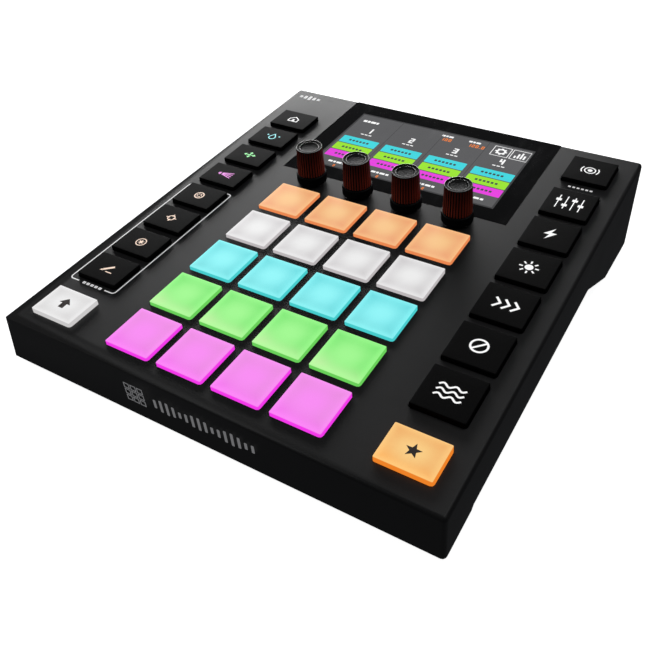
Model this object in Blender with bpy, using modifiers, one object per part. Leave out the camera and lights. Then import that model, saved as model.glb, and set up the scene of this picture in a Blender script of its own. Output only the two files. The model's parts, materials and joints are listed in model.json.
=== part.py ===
"""Desktop lighting control desk: a sloping case with twenty lit pads, seventeen function keys, four
push-and-turn encoders, a colour display behind glass and a row of sockets on the rear face.

Everything on the sloping top is placed in the panel frame: X to the right, Y from the front edge to
the rear edge, Z out of the panel, with Z = 0 on the panel's top surface. The panel frame leans back
by PANEL_TILT. The sockets on the upright rear face are placed in the world frame. Units are metres.
"""

import math

import bmesh
import bpy
from mathutils import Vector

# Case
PANEL_WIDTH = 0.2000
PANEL_DEPTH = 0.2274
PANEL_TILT = math.radians(6.0)
SLAB_DEPTH = 0.0215
FRONT_LIP_END = 0.0210
STEP_END = 0.0230
STEP_RISE = 0.0013
LEG_START = 0.1490
LEG_START_DEPTH = 0.0218
LEG_FLOOR_START = 0.1844
FOOT_HEIGHT = 0.0016
FOOT_GAP = 0.0003
PLATE = 0.0025
WALL = 0.0024
BASE_PLATE = 0.0020
FIT_GAP = 0.0003
EDGE_RADIUS = 0.0017
CORNER_POST = (0.0058, 0.0034)
CORNER_POST_ROW = 0.2209
POST_RADIUS = 0.0032
POST_PLACES = ((0.060, 0.0140), (0.060, 0.1340))

# Pads and keys
PITCH = 0.0259
PAD_SIZE = 0.0213
PAD_PROUD = 0.0015
FRONT_PAD_ROW = 0.0202
KEY_COLUMN = 0.0800
KEY_WIDTH = 0.0215
SHORT_KEY = 0.0163
KEY_PROUD = 0.0020
LEFT_KEY_PITCH = 0.0210
LOWEST_LEFT_KEY = 0.0437
CORNER_KEY_ROW = 0.0177
TAP_KEY_ROW = 0.20665
CAP_GAP = 0.00045
CAP_CORNER = 0.0008
CAP_CHAMFER = 0.0004
FLANGE_OUT = 0.0010
FLANGE_TOP = -0.0028
FLANGE_BOTTOM = -0.0038

# Encoders
KNOB_ROW = 0.1442
KNOB_HEIGHT = 0.0195
KNOB_LIFT = 0.0008
SKIRT_RADIUS = 0.0074
SKIRT_TOP = 0.0052
GRIP_FOOT_RADIUS = 0.00675
GRIP_TOP_RADIUS = 0.0063
SPINDLE_RADIUS = 0.00275
SPINDLE_TOP = 0.0140
BORE_RADIUS = 0.00305
BUSH_RADIUS = 0.0034
ENCODER_SIDE = 0.0124

# Display
GLASS_WIDTH = 0.1193
GLASS_FRONT = 0.1501
GLASS_THICKNESS = 0.0011
GLASS_RECESS = 0.0015
WINDOW_WIDTH = 0.0996
WINDOW_DEPTH = 0.0565
WINDOW_CENTRE = 0.1878
MODULE_WIDTH = 0.1055
MODULE_DEPTH = 0.0640

# Inner boards, measured down from the panel's top surface
MAT_TOP = 0.0064
MAT_THICKNESS = 0.0010
DOME_TOP = 0.0054
DOME_RADIUS = 0.0032
BOARD_TOP = 0.0080
BOARD_THICKNESS = 0.0016

# Rear sockets, in the world frame
DMX_X = (-0.0780, -0.0450)
DMX_Z = 0.0215
DMX_BARREL = 0.0117
DMX_FLANGE = (0.0260, 0.0310, 0.0015)
JACK_X = -0.0130
NETWORK_X = 0.0220
USB_X = 0.0560
MAIN_BOARD_Z = 0.0062

SIN_TILT = math.sin(PANEL_TILT)
COS_TILT = math.cos(PANEL_TILT)
FRONT_EDGE_Z = FOOT_HEIGHT + SLAB_DEPTH * COS_TILT
REAR_FACE_Y = PANEL_DEPTH * COS_TILT
FRONT_EDGE_Y = -REAR_FACE_Y / 2 - DMX_FLANGE[2] / 2 - FIT_GAP / 2


def panel_point(world_y, world_z):
    """The panel-frame (Y, Z) of a world height above the floor and a distance behind the front edge."""
    drop = world_z - FRONT_EDGE_Z
    return (world_y * COS_TILT + drop * SIN_TILT, drop * COS_TILT - world_y * SIN_TILT)


def clear_scene():
    for obj in list(bpy.data.objects):
        bpy.data.objects.remove(obj, do_unlink=True)


def make_collection(name, hidden=False):
    group = bpy.data.collections.new(name)
    bpy.context.scene.collection.children.link(group)
    group.hide_render = hidden
    return group


def make_material(name, colour, roughness, metallic=0.0, glow=0.0, alpha=1.0):
    mat = bpy.data.materials.new(name)
    mat.use_nodes = True
    shader = mat.node_tree.nodes["Principled BSDF"]
    shader.inputs["Base Color"].default_value = (*colour, 1.0)
    shader.inputs["Roughness"].default_value = roughness
    shader.inputs["Metallic"].default_value = metallic
    shader.inputs["Emission Color"].default_value = (*colour, 1.0)
    shader.inputs["Emission Strength"].default_value = glow
    shader.inputs["Alpha"].default_value = alpha
    return mat


def make_frame(name, location, tilt):
    frame = bpy.data.objects.new(name, None)
    frame.location = location
    frame.rotation_euler = (tilt, 0.0, 0.0)
    PARTS.objects.link(frame)
    return frame


def place(name, mesh, parent, location=(0.0, 0.0, 0.0), mat=None, group=None):
    """One object for one piece, with the colour held by the object so that copies can share a mesh."""
    obj = bpy.data.objects.new(name, mesh)
    obj.parent = parent
    obj.location = location
    if not mesh.materials:
        mesh.materials.append(None)
    if mat:
        obj.material_slots[0].link = "OBJECT"
        obj.material_slots[0].material = mat
    (group or PARTS).objects.link(obj)
    return obj


def cutter(name, mesh, parent, location=(0.0, 0.0, 0.0)):
    obj = place(name, mesh, parent, location, group=CUTTERS)
    obj.hide_render = True
    obj.display_type = "WIRE"
    obj.modifiers.new("flat_facets", "TRIANGULATE")
    return obj


def boolean(obj, other, operation="DIFFERENCE"):
    """Cuts or joins in flat triangles, since a many-sided face of a leaning piece is never quite flat."""
    if not obj.modifiers:
        obj.modifiers.new("flat_facets", "TRIANGULATE")
    mod = obj.modifiers.new(other.name, "BOOLEAN")
    mod.object = other
    mod.operation = operation
    mod.solver = "EXACT"


def to_mesh(bm, name):
    bmesh.ops.recalc_face_normals(bm, faces=bm.faces)
    mesh = bpy.data.meshes.new(name)
    bm.to_mesh(mesh)
    bm.free()
    return mesh


def upright_edges(bm, verts):
    inside = set(verts)
    return [
        e
        for e in bm.edges
        if e.verts[0] in inside
        and e.verts[1] in inside
        and (e.verts[0].co - e.verts[1].co).xy.length < 1e-7
    ]


def add_box(bm, centre, size, corner=0.0, segments=2):
    """A box whose four upright corners are rounded."""
    verts = bmesh.ops.create_cube(bm, size=1.0)["verts"]
    for vert in verts:
        vert.co = Vector(centre) + Vector(v * s for v, s in zip(vert.co, size))
    if corner:
        bmesh.ops.bevel(
            bm,
            geom=upright_edges(bm, verts),
            offset=corner,
            segments=segments,
            profile=0.5,
            affect="EDGES",
        )


def add_cylinder(bm, centre, radius, depth, sides=24, axis="Z", top_radius=None):
    made = bmesh.ops.create_cone(
        bm,
        cap_ends=True,
        segments=sides,
        radius1=radius,
        radius2=radius if top_radius is None else top_radius,
        depth=depth,
    )
    for vert in made["verts"]:
        x, y, z = vert.co
        turned = Vector((x, -z, y)) if axis == "Y" else Vector((x, y, z))
        vert.co = turned + Vector(centre)


def box_mesh(name, size, centre=(0.0, 0.0, 0.0), corner=0.0):
    bm = bmesh.new()
    add_box(bm, centre, size, corner)
    return to_mesh(bm, name)


def outline_mesh(name, points, width):
    """A flat outline in panel-frame (Y, Z), filled and extruded by half the width to each side of X = 0."""
    curve = bpy.data.curves.new(name, "CURVE")
    curve.dimensions = "2D"
    curve.fill_mode = "BOTH"
    curve.extrude = width / 2
    spline = curve.splines.new("POLY")
    spline.points.add(len(points) - 1)
    for point, (y, z) in zip(spline.points, points):
        point.co = (y, z, 0.0, 1.0)
    spline.use_cyclic_u = True
    holder = bpy.data.objects.new(name, curve)
    bpy.context.scene.collection.objects.link(holder)
    graph = bpy.context.evaluated_depsgraph_get()
    mesh = bpy.data.meshes.new_from_object(holder.evaluated_get(graph))
    bpy.data.objects.remove(holder, do_unlink=True)
    bm = bmesh.new()
    bm.from_mesh(mesh)
    bpy.data.meshes.remove(mesh)
    bmesh.ops.remove_doubles(bm, verts=bm.verts, dist=1e-5)
    for vert in bm.verts:
        y, z, x = vert.co
        vert.co = (x, y, z)
    bmesh.ops.dissolve_limit(bm, angle_limit=0.001, verts=bm.verts, edges=bm.edges)
    return to_mesh(bm, name)


def turned_mesh(name, profile, steps):
    """The profile is (radius, height) pairs that run down the outside, from the axis to the axis."""
    bm = bmesh.new()
    verts = [bm.verts.new((radius, 0.0, height)) for radius, height in profile]
    for start, end in zip(verts, verts[1:]):
        bm.edges.new((start, end))
    mesh = bpy.data.meshes.new(name)
    bm.to_mesh(mesh)
    bm.free()
    holder = bpy.data.objects.new(name, mesh)
    bpy.context.scene.collection.objects.link(holder)
    screw = holder.modifiers.new("turn", "SCREW")
    screw.steps = steps
    screw.render_steps = steps
    screw.use_merge_vertices = True
    screw.merge_threshold = 0.0001
    graph = bpy.context.evaluated_depsgraph_get()
    turned = bpy.data.meshes.new_from_object(holder.evaluated_get(graph))
    bpy.data.objects.remove(holder, do_unlink=True)
    turned.name = name
    return turned


def smooth(obj, degrees=35.0):
    obj.data.shade_smooth()
    obj.data.set_sharp_from_angle(angle=math.radians(degrees))


def cap_mesh(name, width, depth, proud):
    """A pad or key: a hidden flange with a cap that rises from it, chamfered round its top."""
    bm = bmesh.new()
    flange = 2 * (FLANGE_OUT + CAP_GAP)
    height = FLANGE_TOP - FLANGE_BOTTOM
    add_box(
        bm,
        (0.0, 0.0, (FLANGE_TOP + FLANGE_BOTTOM) / 2),
        (width + flange, depth + flange, height),
        CAP_CORNER + flange / 2,
    )
    top = max(bm.faces, key=lambda face: face.calc_center_median().z)
    bmesh.ops.inset_individual(bm, faces=[top], thickness=flange / 2, use_even_offset=True)
    grown = bmesh.ops.extrude_discrete_faces(bm, faces=[top])["faces"][0]
    rise = proud - CAP_CHAMFER - FLANGE_TOP
    bmesh.ops.translate(bm, verts=grown.verts, vec=(0.0, 0.0, rise))
    bmesh.ops.inset_individual(
        bm,
        faces=[grown],
        thickness=CAP_CHAMFER,
        depth=CAP_CHAMFER,
        use_even_offset=True,
    )
    return to_mesh(bm, name)


def knob_mesh():
    """A tapered grip on a wider skirt, with a raised rim round a dished top and a stepped bore below."""
    top = KNOB_HEIGHT
    profile = [
        (0.0, top - 0.0009),
        (0.0043, top - 0.0007),
        (0.0048, top - 0.0001),
        (0.0058, top),
        (GRIP_TOP_RADIUS, top - 0.0005),
        (GRIP_FOOT_RADIUS, SKIRT_TOP + 0.0005),
        (SKIRT_RADIUS, SKIRT_TOP),
        (SKIRT_RADIUS, KNOB_LIFT),
        (0.0049, KNOB_LIFT),
        (0.0049, 0.0060),
        (BORE_RADIUS, 0.0060),
        (BORE_RADIUS, SPINDLE_TOP + 0.0010),
        (0.0, SPINDLE_TOP + 0.0010),
    ]
    return turned_mesh("knob", profile, 28)


def spindle_mesh():
    """A round spindle with a contact disc near its foot."""
    disc_top = -0.0052
    disc_bottom = -0.0064
    profile = [
        (0.0, SPINDLE_TOP),
        (SPINDLE_RADIUS - 0.0003, SPINDLE_TOP),
        (SPINDLE_RADIUS, SPINDLE_TOP - 0.0004),
        (SPINDLE_RADIUS, disc_top),
        (0.0050, disc_top),
        (0.0050, disc_bottom),
        (0.0, disc_bottom),
    ]
    return turned_mesh("spindle", profile, 20)


def leg_floor(world_y):
    return panel_point(world_y, FOOT_HEIGHT)


def case_outline():
    """The side view of the case, anticlockwise from the front top edge."""
    return [
        (0.0, 0.0),
        (0.0, -SLAB_DEPTH),
        (FRONT_LIP_END, -SLAB_DEPTH),
        (STEP_END, -SLAB_DEPTH + STEP_RISE),
        (LEG_START, -LEG_START_DEPTH),
        leg_floor(LEG_FLOOR_START),
        leg_floor(REAR_FACE_Y),
        (PANEL_DEPTH, 0.0),
    ]


def case_mesh():
    """The outer block of the case, with rounded top and corner edges and chamfered leg fronts."""
    bm = bmesh.new()
    bm.from_mesh(outline_mesh("case_block", case_outline(), PANEL_WIDTH))
    rounded = []
    chamfered = []
    for edge in bm.edges:
        a, b = (vert.co for vert in edge.verts)
        across = abs(a.x - b.x) > 1e-4
        if min(a.z, b.z) > -1e-4:
            rounded.append(edge)
        elif not across and max(a.y, b.y) < 1e-3:
            rounded.append(edge)
        elif not across and min(a.y, b.y) > REAR_FACE_Y - 0.006 and max(a.z, b.z) > -1e-4:
            rounded.append(edge)
        elif not across and LEG_START - 1e-3 < min(a.y, b.y) < LEG_START + 1e-3:
            if max(a.y, b.y) > LEG_START + 1e-2:
                chamfered.append(edge)
    bmesh.ops.bevel(
        bm, geom=rounded, offset=EDGE_RADIUS, segments=3, profile=0.5, affect="EDGES"
    )
    chamfered = [edge for edge in chamfered if edge.is_valid]
    bmesh.ops.bevel(bm, geom=chamfered, offset=0.0014, segments=1, affect="EDGES")
    return to_mesh(bm, "case_block")


def pad_places():
    for row in range(5):
        for column in range(4):
            x = (column - 1.5) * PITCH
            y = FRONT_PAD_ROW + (4 - row) * PITCH
            yield f"pad_row{row + 1}_col{column + 1}", row, x, y


def key_places():
    """(name, X, Y, depth) of each key: nine on the left, eight on the right, counted from the rear."""
    for index in range(8):
        y = LOWEST_LEFT_KEY + (7 - index) * LEFT_KEY_PITCH
        yield f"key_left_{index + 1}", -KEY_COLUMN, y, SHORT_KEY
    yield "key_left_9", -KEY_COLUMN, CORNER_KEY_ROW, SHORT_KEY
    yield "key_right_1", KEY_COLUMN, TAP_KEY_ROW, PAD_SIZE
    for index in range(6):
        y = FRONT_PAD_ROW + (6 - index) * PITCH
        yield f"key_right_{index + 2}", KEY_COLUMN, y, PAD_SIZE
    yield "key_right_8", KEY_COLUMN, CORNER_KEY_ROW, SHORT_KEY


def knob_places():
    for column in range(4):
        yield column + 1, (column - 1.5) * PITCH, KNOB_ROW


def post_places():
    for x, y in POST_PLACES:
        yield -x, y
        yield x, y


def base_depth(y):
    """Height of the base plate's underside at a distance from the front edge."""
    outline = case_outline()[1:7]
    for (y0, z0), (y1, z1) in zip(outline, outline[1:]):
        if y0 <= y <= y1:
            return z0 + (z1 - z0) * (y - y0) / (y1 - y0)
    return outline[-1][1]


def build_top_shell():
    shell = place("top_shell", case_mesh(), PANEL, mat=CASE_BLACK)

    rear_top = (PANEL_DEPTH - WALL, -PLATE)
    rear_low = (PANEL_DEPTH - WALL - 0.065 * math.tan(PANEL_TILT), -PLATE - 0.065)
    hollow = [(WALL, -PLATE), (WALL, -0.060), rear_low, rear_top]
    inside = outline_mesh("inside", hollow, PANEL_WIDTH - 2 * WALL)
    boolean(shell, cutter("cut_inside", inside, PANEL))

    bm = bmesh.new()
    for x, y in post_places():
        foot = base_depth(y) + BASE_PLATE + FIT_GAP
        top = -PLATE + 0.0010
        add_cylinder(bm, (x, y, (top + foot) / 2), POST_RADIUS, top - foot, 12)
    half = PANEL_WIDTH / 2 - WALL
    for side in (-1, 1):
        x = side * (half - CORNER_POST[0] / 2 + 0.0005)
        foot = base_depth(CORNER_POST_ROW) + BASE_PLATE + 0.0016
        top = -PLATE + 0.0010
        size = (CORNER_POST[0] + 0.001, CORNER_POST[1], top - foot)
        add_box(bm, (x, CORNER_POST_ROW, (top + foot) / 2), size)
    boolean(shell, cutter("add_posts", to_mesh(bm, "posts"), PANEL), "UNION")

    bm = bmesh.new()
    reach = PLATE + 0.002
    for name, row, x, y in pad_places():
        side = PAD_SIZE + 2 * CAP_GAP
        add_box(bm, (x, y, -PLATE / 2), (side, side, reach), CAP_CORNER + CAP_GAP)
    for name, x, y, depth in key_places():
        size = (KEY_WIDTH + 2 * CAP_GAP, depth + 2 * CAP_GAP, reach)
        add_box(bm, (x, y, -PLATE / 2), size, CAP_CORNER + CAP_GAP)
    for number, x, y in knob_places():
        add_cylinder(bm, (x, y, -PLATE / 2), BUSH_RADIUS + 0.0004, reach, 20)
    window = (WINDOW_WIDTH + 0.002, WINDOW_DEPTH + 0.002, reach)
    add_box(bm, (0.0, WINDOW_CENTRE, -PLATE / 2), window)
    boolean(shell, cutter("cut_openings", to_mesh(bm, "openings"), PANEL))

    recess_end = PANEL_DEPTH + 0.004
    recess_front = GLASS_FRONT - FIT_GAP
    size = (GLASS_WIDTH + 2 * FIT_GAP, recess_end - recess_front, 0.004)
    centre = (0.0, (recess_end + recess_front) / 2, 0.002 - GLASS_RECESS)
    boolean(shell, cutter("cut_glass_recess", box_mesh("glass_recess", size, centre), PANEL))

    bm = bmesh.new()
    wall_y = REAR_FACE_Y
    for x in DMX_X:
        add_cylinder(bm, (x, wall_y, DMX_Z), DMX_BARREL + FIT_GAP, 0.008, 28, "Y")
    add_cylinder(bm, (JACK_X, wall_y, 0.0164), 0.0056 + FIT_GAP, 0.008, 20, "Y")
    add_box(bm, (NETWORK_X, wall_y, 0.0151), (0.0160 + 2 * FIT_GAP, 0.008, 0.0135 + 2 * FIT_GAP))
    add_box(bm, (USB_X, wall_y, 0.0139), (0.0120 + 2 * FIT_GAP, 0.008, 0.0110 + 2 * FIT_GAP))
    boolean(shell, cutter("cut_sockets", to_mesh(bm, "sockets"), REAR))
    return shell


def build_bottom_shell():
    low = case_outline()[1:7]
    low[0] = (WALL + FIT_GAP, low[0][1])
    low[-1] = leg_floor(REAR_FACE_Y - WALL - FIT_GAP)
    high = [(y, z + BASE_PLATE) for y, z in reversed(low)]
    width = PANEL_WIDTH - 2 * WALL - 2 * FIT_GAP
    base = place("bottom_shell", outline_mesh("base", low + high, width), PANEL, mat=BASE_BLACK)

    bm = bmesh.new()
    for x in (-0.085, 0.0, 0.085):
        for y in (0.1900, 0.2150):
            top = MAIN_BOARD_Z - FIT_GAP
            foot = FOOT_HEIGHT + 0.0010
            add_cylinder(bm, (x, y, (top + foot) / 2), 0.0025, top - foot, 10)
    boolean(base, cutter("add_standoffs", to_mesh(bm, "standoffs"), REAR), "UNION")

    bm = bmesh.new()
    for x, y in post_places():
        add_cylinder(bm, (x, y, base_depth(y)), 0.0017, 0.010, 10)
    for column in range(6):
        x = (column - 2.5) * 0.0180
        add_box(bm, (x, 0.0850, -0.0205), (0.0030, 0.0420, 0.008), 0.0014)
    boolean(base, cutter("cut_base", to_mesh(bm, "base_cuts"), PANEL))
    return base


def build_feet():
    lip = []
    for y in (0.0050, 0.0185):
        lip.append((y, -SLAB_DEPTH - FOOT_GAP))
    for y in (0.0185, 0.0050):
        world_y = y * COS_TILT + SLAB_DEPTH * SIN_TILT
        lip.append(panel_point(world_y, 0.0))
    place("foot_front", outline_mesh("foot_front", lip, 0.150), PANEL, mat=RUBBER)
    height = FOOT_HEIGHT - FOOT_GAP
    strip = box_mesh("foot_rear", (0.150, 0.014, height), (0.0, 0.0, height / 2), 0.002)
    place("foot_rear", strip, REAR, (0.0, 0.2050, 0.0), RUBBER)


def build_display():
    back = PANEL_DEPTH - FIT_GAP
    depth = back - GLASS_FRONT
    centre = (0.0, (back + GLASS_FRONT) / 2, -0.0001 - GLASS_THICKNESS / 2)
    glass = box_mesh("glass", (GLASS_WIDTH, depth, GLASS_THICKNESS), centre)
    bm = bmesh.new()
    bm.from_mesh(glass)
    rear_top = [
        e
        for e in bm.edges
        if min(v.co.y for v in e.verts) > back - 1e-5 and min(v.co.z for v in e.verts) > -0.0005
    ]
    bmesh.ops.bevel(bm, geom=rear_top, offset=0.0008, segments=2, profile=0.5, affect="EDGES")
    place("screen_glass", to_mesh(bm, "screen_glass"), PANEL, mat=GLASS)

    bm = bmesh.new()
    base_top = -PLATE - FIT_GAP
    add_box(bm, (0.0, WINDOW_CENTRE, base_top - 0.0018), (MODULE_WIDTH, MODULE_DEPTH, 0.0036))
    top = max(bm.faces, key=lambda face: face.calc_center_median().z)
    rim = (MODULE_WIDTH - WINDOW_WIDTH) / 2
    bmesh.ops.inset_individual(bm, faces=[top], thickness=rim, use_even_offset=True)
    raised = bmesh.ops.extrude_discrete_faces(bm, faces=[top])["faces"][0]
    rise = -GLASS_RECESS - FIT_GAP - base_top
    bmesh.ops.translate(bm, verts=raised.verts, vec=(0.0, 0.0, rise))
    place("display_module", to_mesh(bm, "display_module"), PANEL, mat=DISPLAY)


def build_boards():
    bm = bmesh.new()
    sheet_z = -MAT_TOP - MAT_THICKNESS / 2
    front, middle, rear = 0.0060, 0.1352, 0.2188
    outline = [
        (-0.0925, front),
        (0.0925, front),
        (0.0925, rear),
        (0.0675, rear),
        (0.0675, middle),
        (-0.0675, middle),
        (-0.0675, rear),
        (-0.0925, rear),
    ]
    sheet = outline_mesh("mat", outline, MAT_THICKNESS)
    bm.from_mesh(sheet)
    for vert in bm.verts:
        thick, x, y = vert.co
        vert.co = (x, y, thick + sheet_z)
    mat_obj = place("silicone_mat", to_mesh(bm, "silicone_mat"), PANEL, mat=SILICONE)
    bm = bmesh.new()
    spots = [(x, y) for name, row, x, y in pad_places()]
    spots += [(x, y) for name, x, y, depth in key_places()]
    for x, y in spots:
        low = -MAT_TOP - MAT_THICKNESS / 2
        add_cylinder(bm, (x, y, (low - DOME_TOP) / 2), DOME_RADIUS, -DOME_TOP - low, 8)
    boolean(mat_obj, cutter("add_domes", to_mesh(bm, "domes"), PANEL), "UNION")
    bm = bmesh.new()
    for x, y in post_places():
        add_cylinder(bm, (x, y, -MAT_TOP), POST_RADIUS + 0.0006, 0.006, 12)
    post_cut = cutter("cut_post_holes", to_mesh(bm, "post_holes"), PANEL)
    boolean(mat_obj, post_cut)

    board = box_mesh(
        "key_board",
        (0.1800, 0.2100, BOARD_THICKNESS),
        (0.0, 0.1110, -BOARD_TOP - BOARD_THICKNESS / 2),
    )
    board_obj = place("key_board", board, PANEL, mat=BOARD_GREEN)
    bm = bmesh.new()
    for x, y in post_places():
        add_cylinder(bm, (x, y, -BOARD_TOP), POST_RADIUS + 0.0006, 0.006, 12)
    boolean(board_obj, cutter("cut_board_holes", to_mesh(bm, "board_holes"), PANEL))

    size = (0.1840, 0.0340, BOARD_THICKNESS)
    centre = (0.0, 0.0, BOARD_THICKNESS / 2)
    main = box_mesh("main_board", size, centre)
    place("main_board", main, REAR, (0.0, 0.2040, MAIN_BOARD_Z), BOARD_GREEN)


def build_encoders():
    strip_top = -0.0066
    bm = bmesh.new()
    centre = (0.0, KNOB_ROW, strip_top - 0.0005)
    add_box(bm, centre, (3 * PITCH + 0.0220, 0.0150, 0.0010))
    carrier = place("encoder_block", to_mesh(bm, "encoder_strip"), PANEL, mat=ENCODER_GREY)
    bm = bmesh.new()
    top = -PLATE - FIT_GAP
    for number, x, y in knob_places():
        low = strip_top - 0.0005
        add_box(bm, (x, y, (top + low) / 2), (ENCODER_SIDE, ENCODER_SIDE, top - low))
    boolean(carrier, cutter("add_housings", to_mesh(bm, "housings"), PANEL), "UNION")
    bm = bmesh.new()
    bush_top = 0.0020
    for number, x, y in knob_places():
        low = top - 0.0010
        add_cylinder(bm, (x, y, (bush_top + low) / 2), BUSH_RADIUS, bush_top - low, 20)
    boolean(carrier, cutter("add_bushes", to_mesh(bm, "bushes"), PANEL), "UNION")
    bm = bmesh.new()
    for number, x, y in knob_places():
        add_cylinder(bm, (x, y, -0.0030), BORE_RADIUS, 0.0140, 20)
    boolean(carrier, cutter("cut_bores", to_mesh(bm, "bores"), PANEL))
    bm = bmesh.new()
    for number, x, y in knob_places():
        add_cylinder(bm, (x, y, -0.0070), 0.0053, 0.0042, 20)
    boolean(carrier, cutter("cut_disc_pockets", to_mesh(bm, "disc_pockets"), PANEL))

    knob = knob_mesh()
    spindle = spindle_mesh()
    for number, x, y in knob_places():
        smooth(place(f"spindle_{number}", spindle, PANEL, (x, y, 0.0), STEEL))
        smooth(place(f"knob_{number}", knob, PANEL, (x, y, 0.0), KNOB_BLACK))


def build_caps():
    pad = cap_mesh("pad", PAD_SIZE, PAD_SIZE, PAD_PROUD)
    for name, row, x, y in pad_places():
        place(name, pad, PANEL, (x, y, 0.0), PAD_COLOURS[row])
    meshes = {}
    for name, x, y, depth in key_places():
        if depth not in meshes:
            meshes[depth] = cap_mesh("key", KEY_WIDTH, depth, KEY_PROUD)
        place(name, meshes[depth], PANEL, (x, y, 0.0), KEY_COLOURS.get(name, KEY_BLACK))


def build_sockets():
    """Each socket's origin is at the centre of its mouth, on the case's rear face."""
    bm = bmesh.new()
    flange_y = FIT_GAP + DMX_FLANGE[2] / 2
    add_box(bm, (0.0, flange_y, 0.0), (DMX_FLANGE[0], DMX_FLANGE[2], DMX_FLANGE[1]))
    flange = to_mesh(bm, "dmx_flange")
    bm = bmesh.new()
    add_cylinder(bm, (0.0, -0.0098, 0.0), DMX_BARREL, 0.0220, 28, "Y")
    barrel = cutter("add_dmx_barrel", to_mesh(bm, "dmx_barrel"), REAR)
    bm = bmesh.new()
    add_cylinder(bm, (0.0, -0.0040, 0.0), 0.0097, 0.0170, 28, "Y")
    groove = cutter("cut_dmx_groove", to_mesh(bm, "dmx_groove"), REAR)
    bm = bmesh.new()
    add_cylinder(bm, (0.0, -0.0064, 0.0), 0.0074, 0.0130, 24, "Y")
    core = cutter("add_dmx_core", to_mesh(bm, "dmx_core"), REAR)
    bm = bmesh.new()
    for x, z in ((-0.0037, 0.0), (0.0037, 0.0), (0.0, -0.0037)):
        add_cylinder(bm, (x, -0.0030, z), 0.0014, 0.0140, 8, "Y")
    pins = cutter("cut_dmx_pins", to_mesh(bm, "dmx_pins"), REAR)
    for name, x in zip(("dmx_socket_a", "dmx_socket_b"), DMX_X):
        spot = (x, REAR_FACE_Y, DMX_Z)
        socket = place(name, flange, REAR, spot, CONNECTOR_BLACK)
        for tool, operation in (
            (barrel, "UNION"),
            (groove, "DIFFERENCE"),
            (core, "UNION"),
            (pins, "DIFFERENCE"),
        ):
            own = cutter(f"{tool.name}_{name[-1]}", tool.data, REAR, spot)
            boolean(socket, own, operation)
    for tool in (barrel, groove, core, pins):
        bpy.data.objects.remove(tool, do_unlink=True)

    spot = (NETWORK_X, REAR_FACE_Y, 0.0151)
    body = box_mesh("network", (0.0160, 0.0210, 0.0135), (0.0, -0.0100, 0.0))
    network = place("network_socket", body, REAR, spot, CONNECTOR_METAL)
    mouth = box_mesh("network_mouth", (0.0118, 0.0140, 0.0084), (0.0, -0.0055, 0.0006))
    boolean(network, cutter("cut_network_mouth", mouth, REAR, spot))

    spot = (USB_X, REAR_FACE_Y, 0.0139)
    body = box_mesh("usb", (0.0120, 0.0165, 0.0110), (0.0, -0.0078, 0.0))
    usb = place("usb_socket", body, REAR, spot, CONNECTOR_METAL)
    mouth = box_mesh("usb_mouth", (0.0086, 0.0100, 0.0079), (0.0, -0.0035, 0.0))
    boolean(usb, cutter("cut_usb_mouth", mouth, REAR, spot))

    spot = (JACK_X, REAR_FACE_Y, 0.0164)
    body = box_mesh("jack", (0.0150, 0.0220, 0.0150), (0.0, -0.0138, 0.0))
    jack = place("jack_socket", body, REAR, spot, CONNECTOR_BLACK)
    bm = bmesh.new()
    add_cylinder(bm, (0.0, -0.0012, 0.0), 0.0056, 0.0064, 20, "Y")
    boolean(jack, cutter("add_jack_bush", to_mesh(bm, "jack_bush"), REAR, spot), "UNION")
    bm = bmesh.new()
    add_cylinder(bm, (0.0, -0.0080, 0.0), 0.0033, 0.0260, 16, "Y")
    boolean(jack, cutter("cut_jack_bore", to_mesh(bm, "jack_bore"), REAR, spot))


def build_desk():
    build_top_shell()
    build_bottom_shell()
    build_feet()
    build_display()
    build_boards()
    build_encoders()
    build_caps()
    build_sockets()


clear_scene()
PARTS = make_collection("lighting_control_desk")
CUTTERS = make_collection("cutters", hidden=True)
PANEL = make_frame("panel_frame", (0.0, FRONT_EDGE_Y, FRONT_EDGE_Z), PANEL_TILT)
REAR = make_frame("rear_frame", (0.0, FRONT_EDGE_Y, 0.0), 0.0)

CASE_BLACK = make_material("case_black", (0.020, 0.020, 0.021), 0.45)
BASE_BLACK = make_material("base_black", (0.012, 0.012, 0.013), 0.55)
RUBBER = make_material("rubber", (0.010, 0.010, 0.010), 0.80)
GLASS = make_material("screen_glass", (0.008, 0.008, 0.009), 0.08)
DISPLAY = make_material("display", (0.110, 0.110, 0.115), 0.35, glow=0.4)
SILICONE = make_material("silicone", (0.550, 0.550, 0.530), 0.60)
BOARD_GREEN = make_material("board_green", (0.015, 0.090, 0.040), 0.40)
ENCODER_GREY = make_material("encoder_grey", (0.120, 0.120, 0.125), 0.40)
STEEL = make_material("steel", (0.560, 0.560, 0.550), 0.30, metallic=1.0)
KNOB_BLACK = make_material("knob_black", (0.030, 0.012, 0.010), 0.45)
KEY_BLACK = make_material("key_black", (0.006, 0.006, 0.007), 0.35)
CONNECTOR_BLACK = make_material("connector_black", (0.015, 0.015, 0.016), 0.40)
CONNECTOR_METAL = make_material("connector_metal", (0.600, 0.600, 0.600), 0.30, metallic=1.0)
PAD_COLOURS = [
    make_material("pad_orange", (0.900, 0.450, 0.200), 0.35, glow=0.5),
    make_material("pad_white", (0.750, 0.750, 0.760), 0.35, glow=0.5),
    make_material("pad_cyan", (0.250, 0.780, 0.800), 0.35, glow=0.5),
    make_material("pad_green", (0.350, 0.800, 0.320), 0.35, glow=0.5),
    make_material("pad_magenta", (0.850, 0.250, 0.780), 0.35, glow=0.5),
]
KEY_COLOURS = {
    "key_left_9": make_material("key_white", (0.800, 0.800, 0.800), 0.35, glow=0.4),
    "key_right_8": make_material("key_orange", (0.880, 0.420, 0.150), 0.35, glow=0.4),
}

build_desk()
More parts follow.
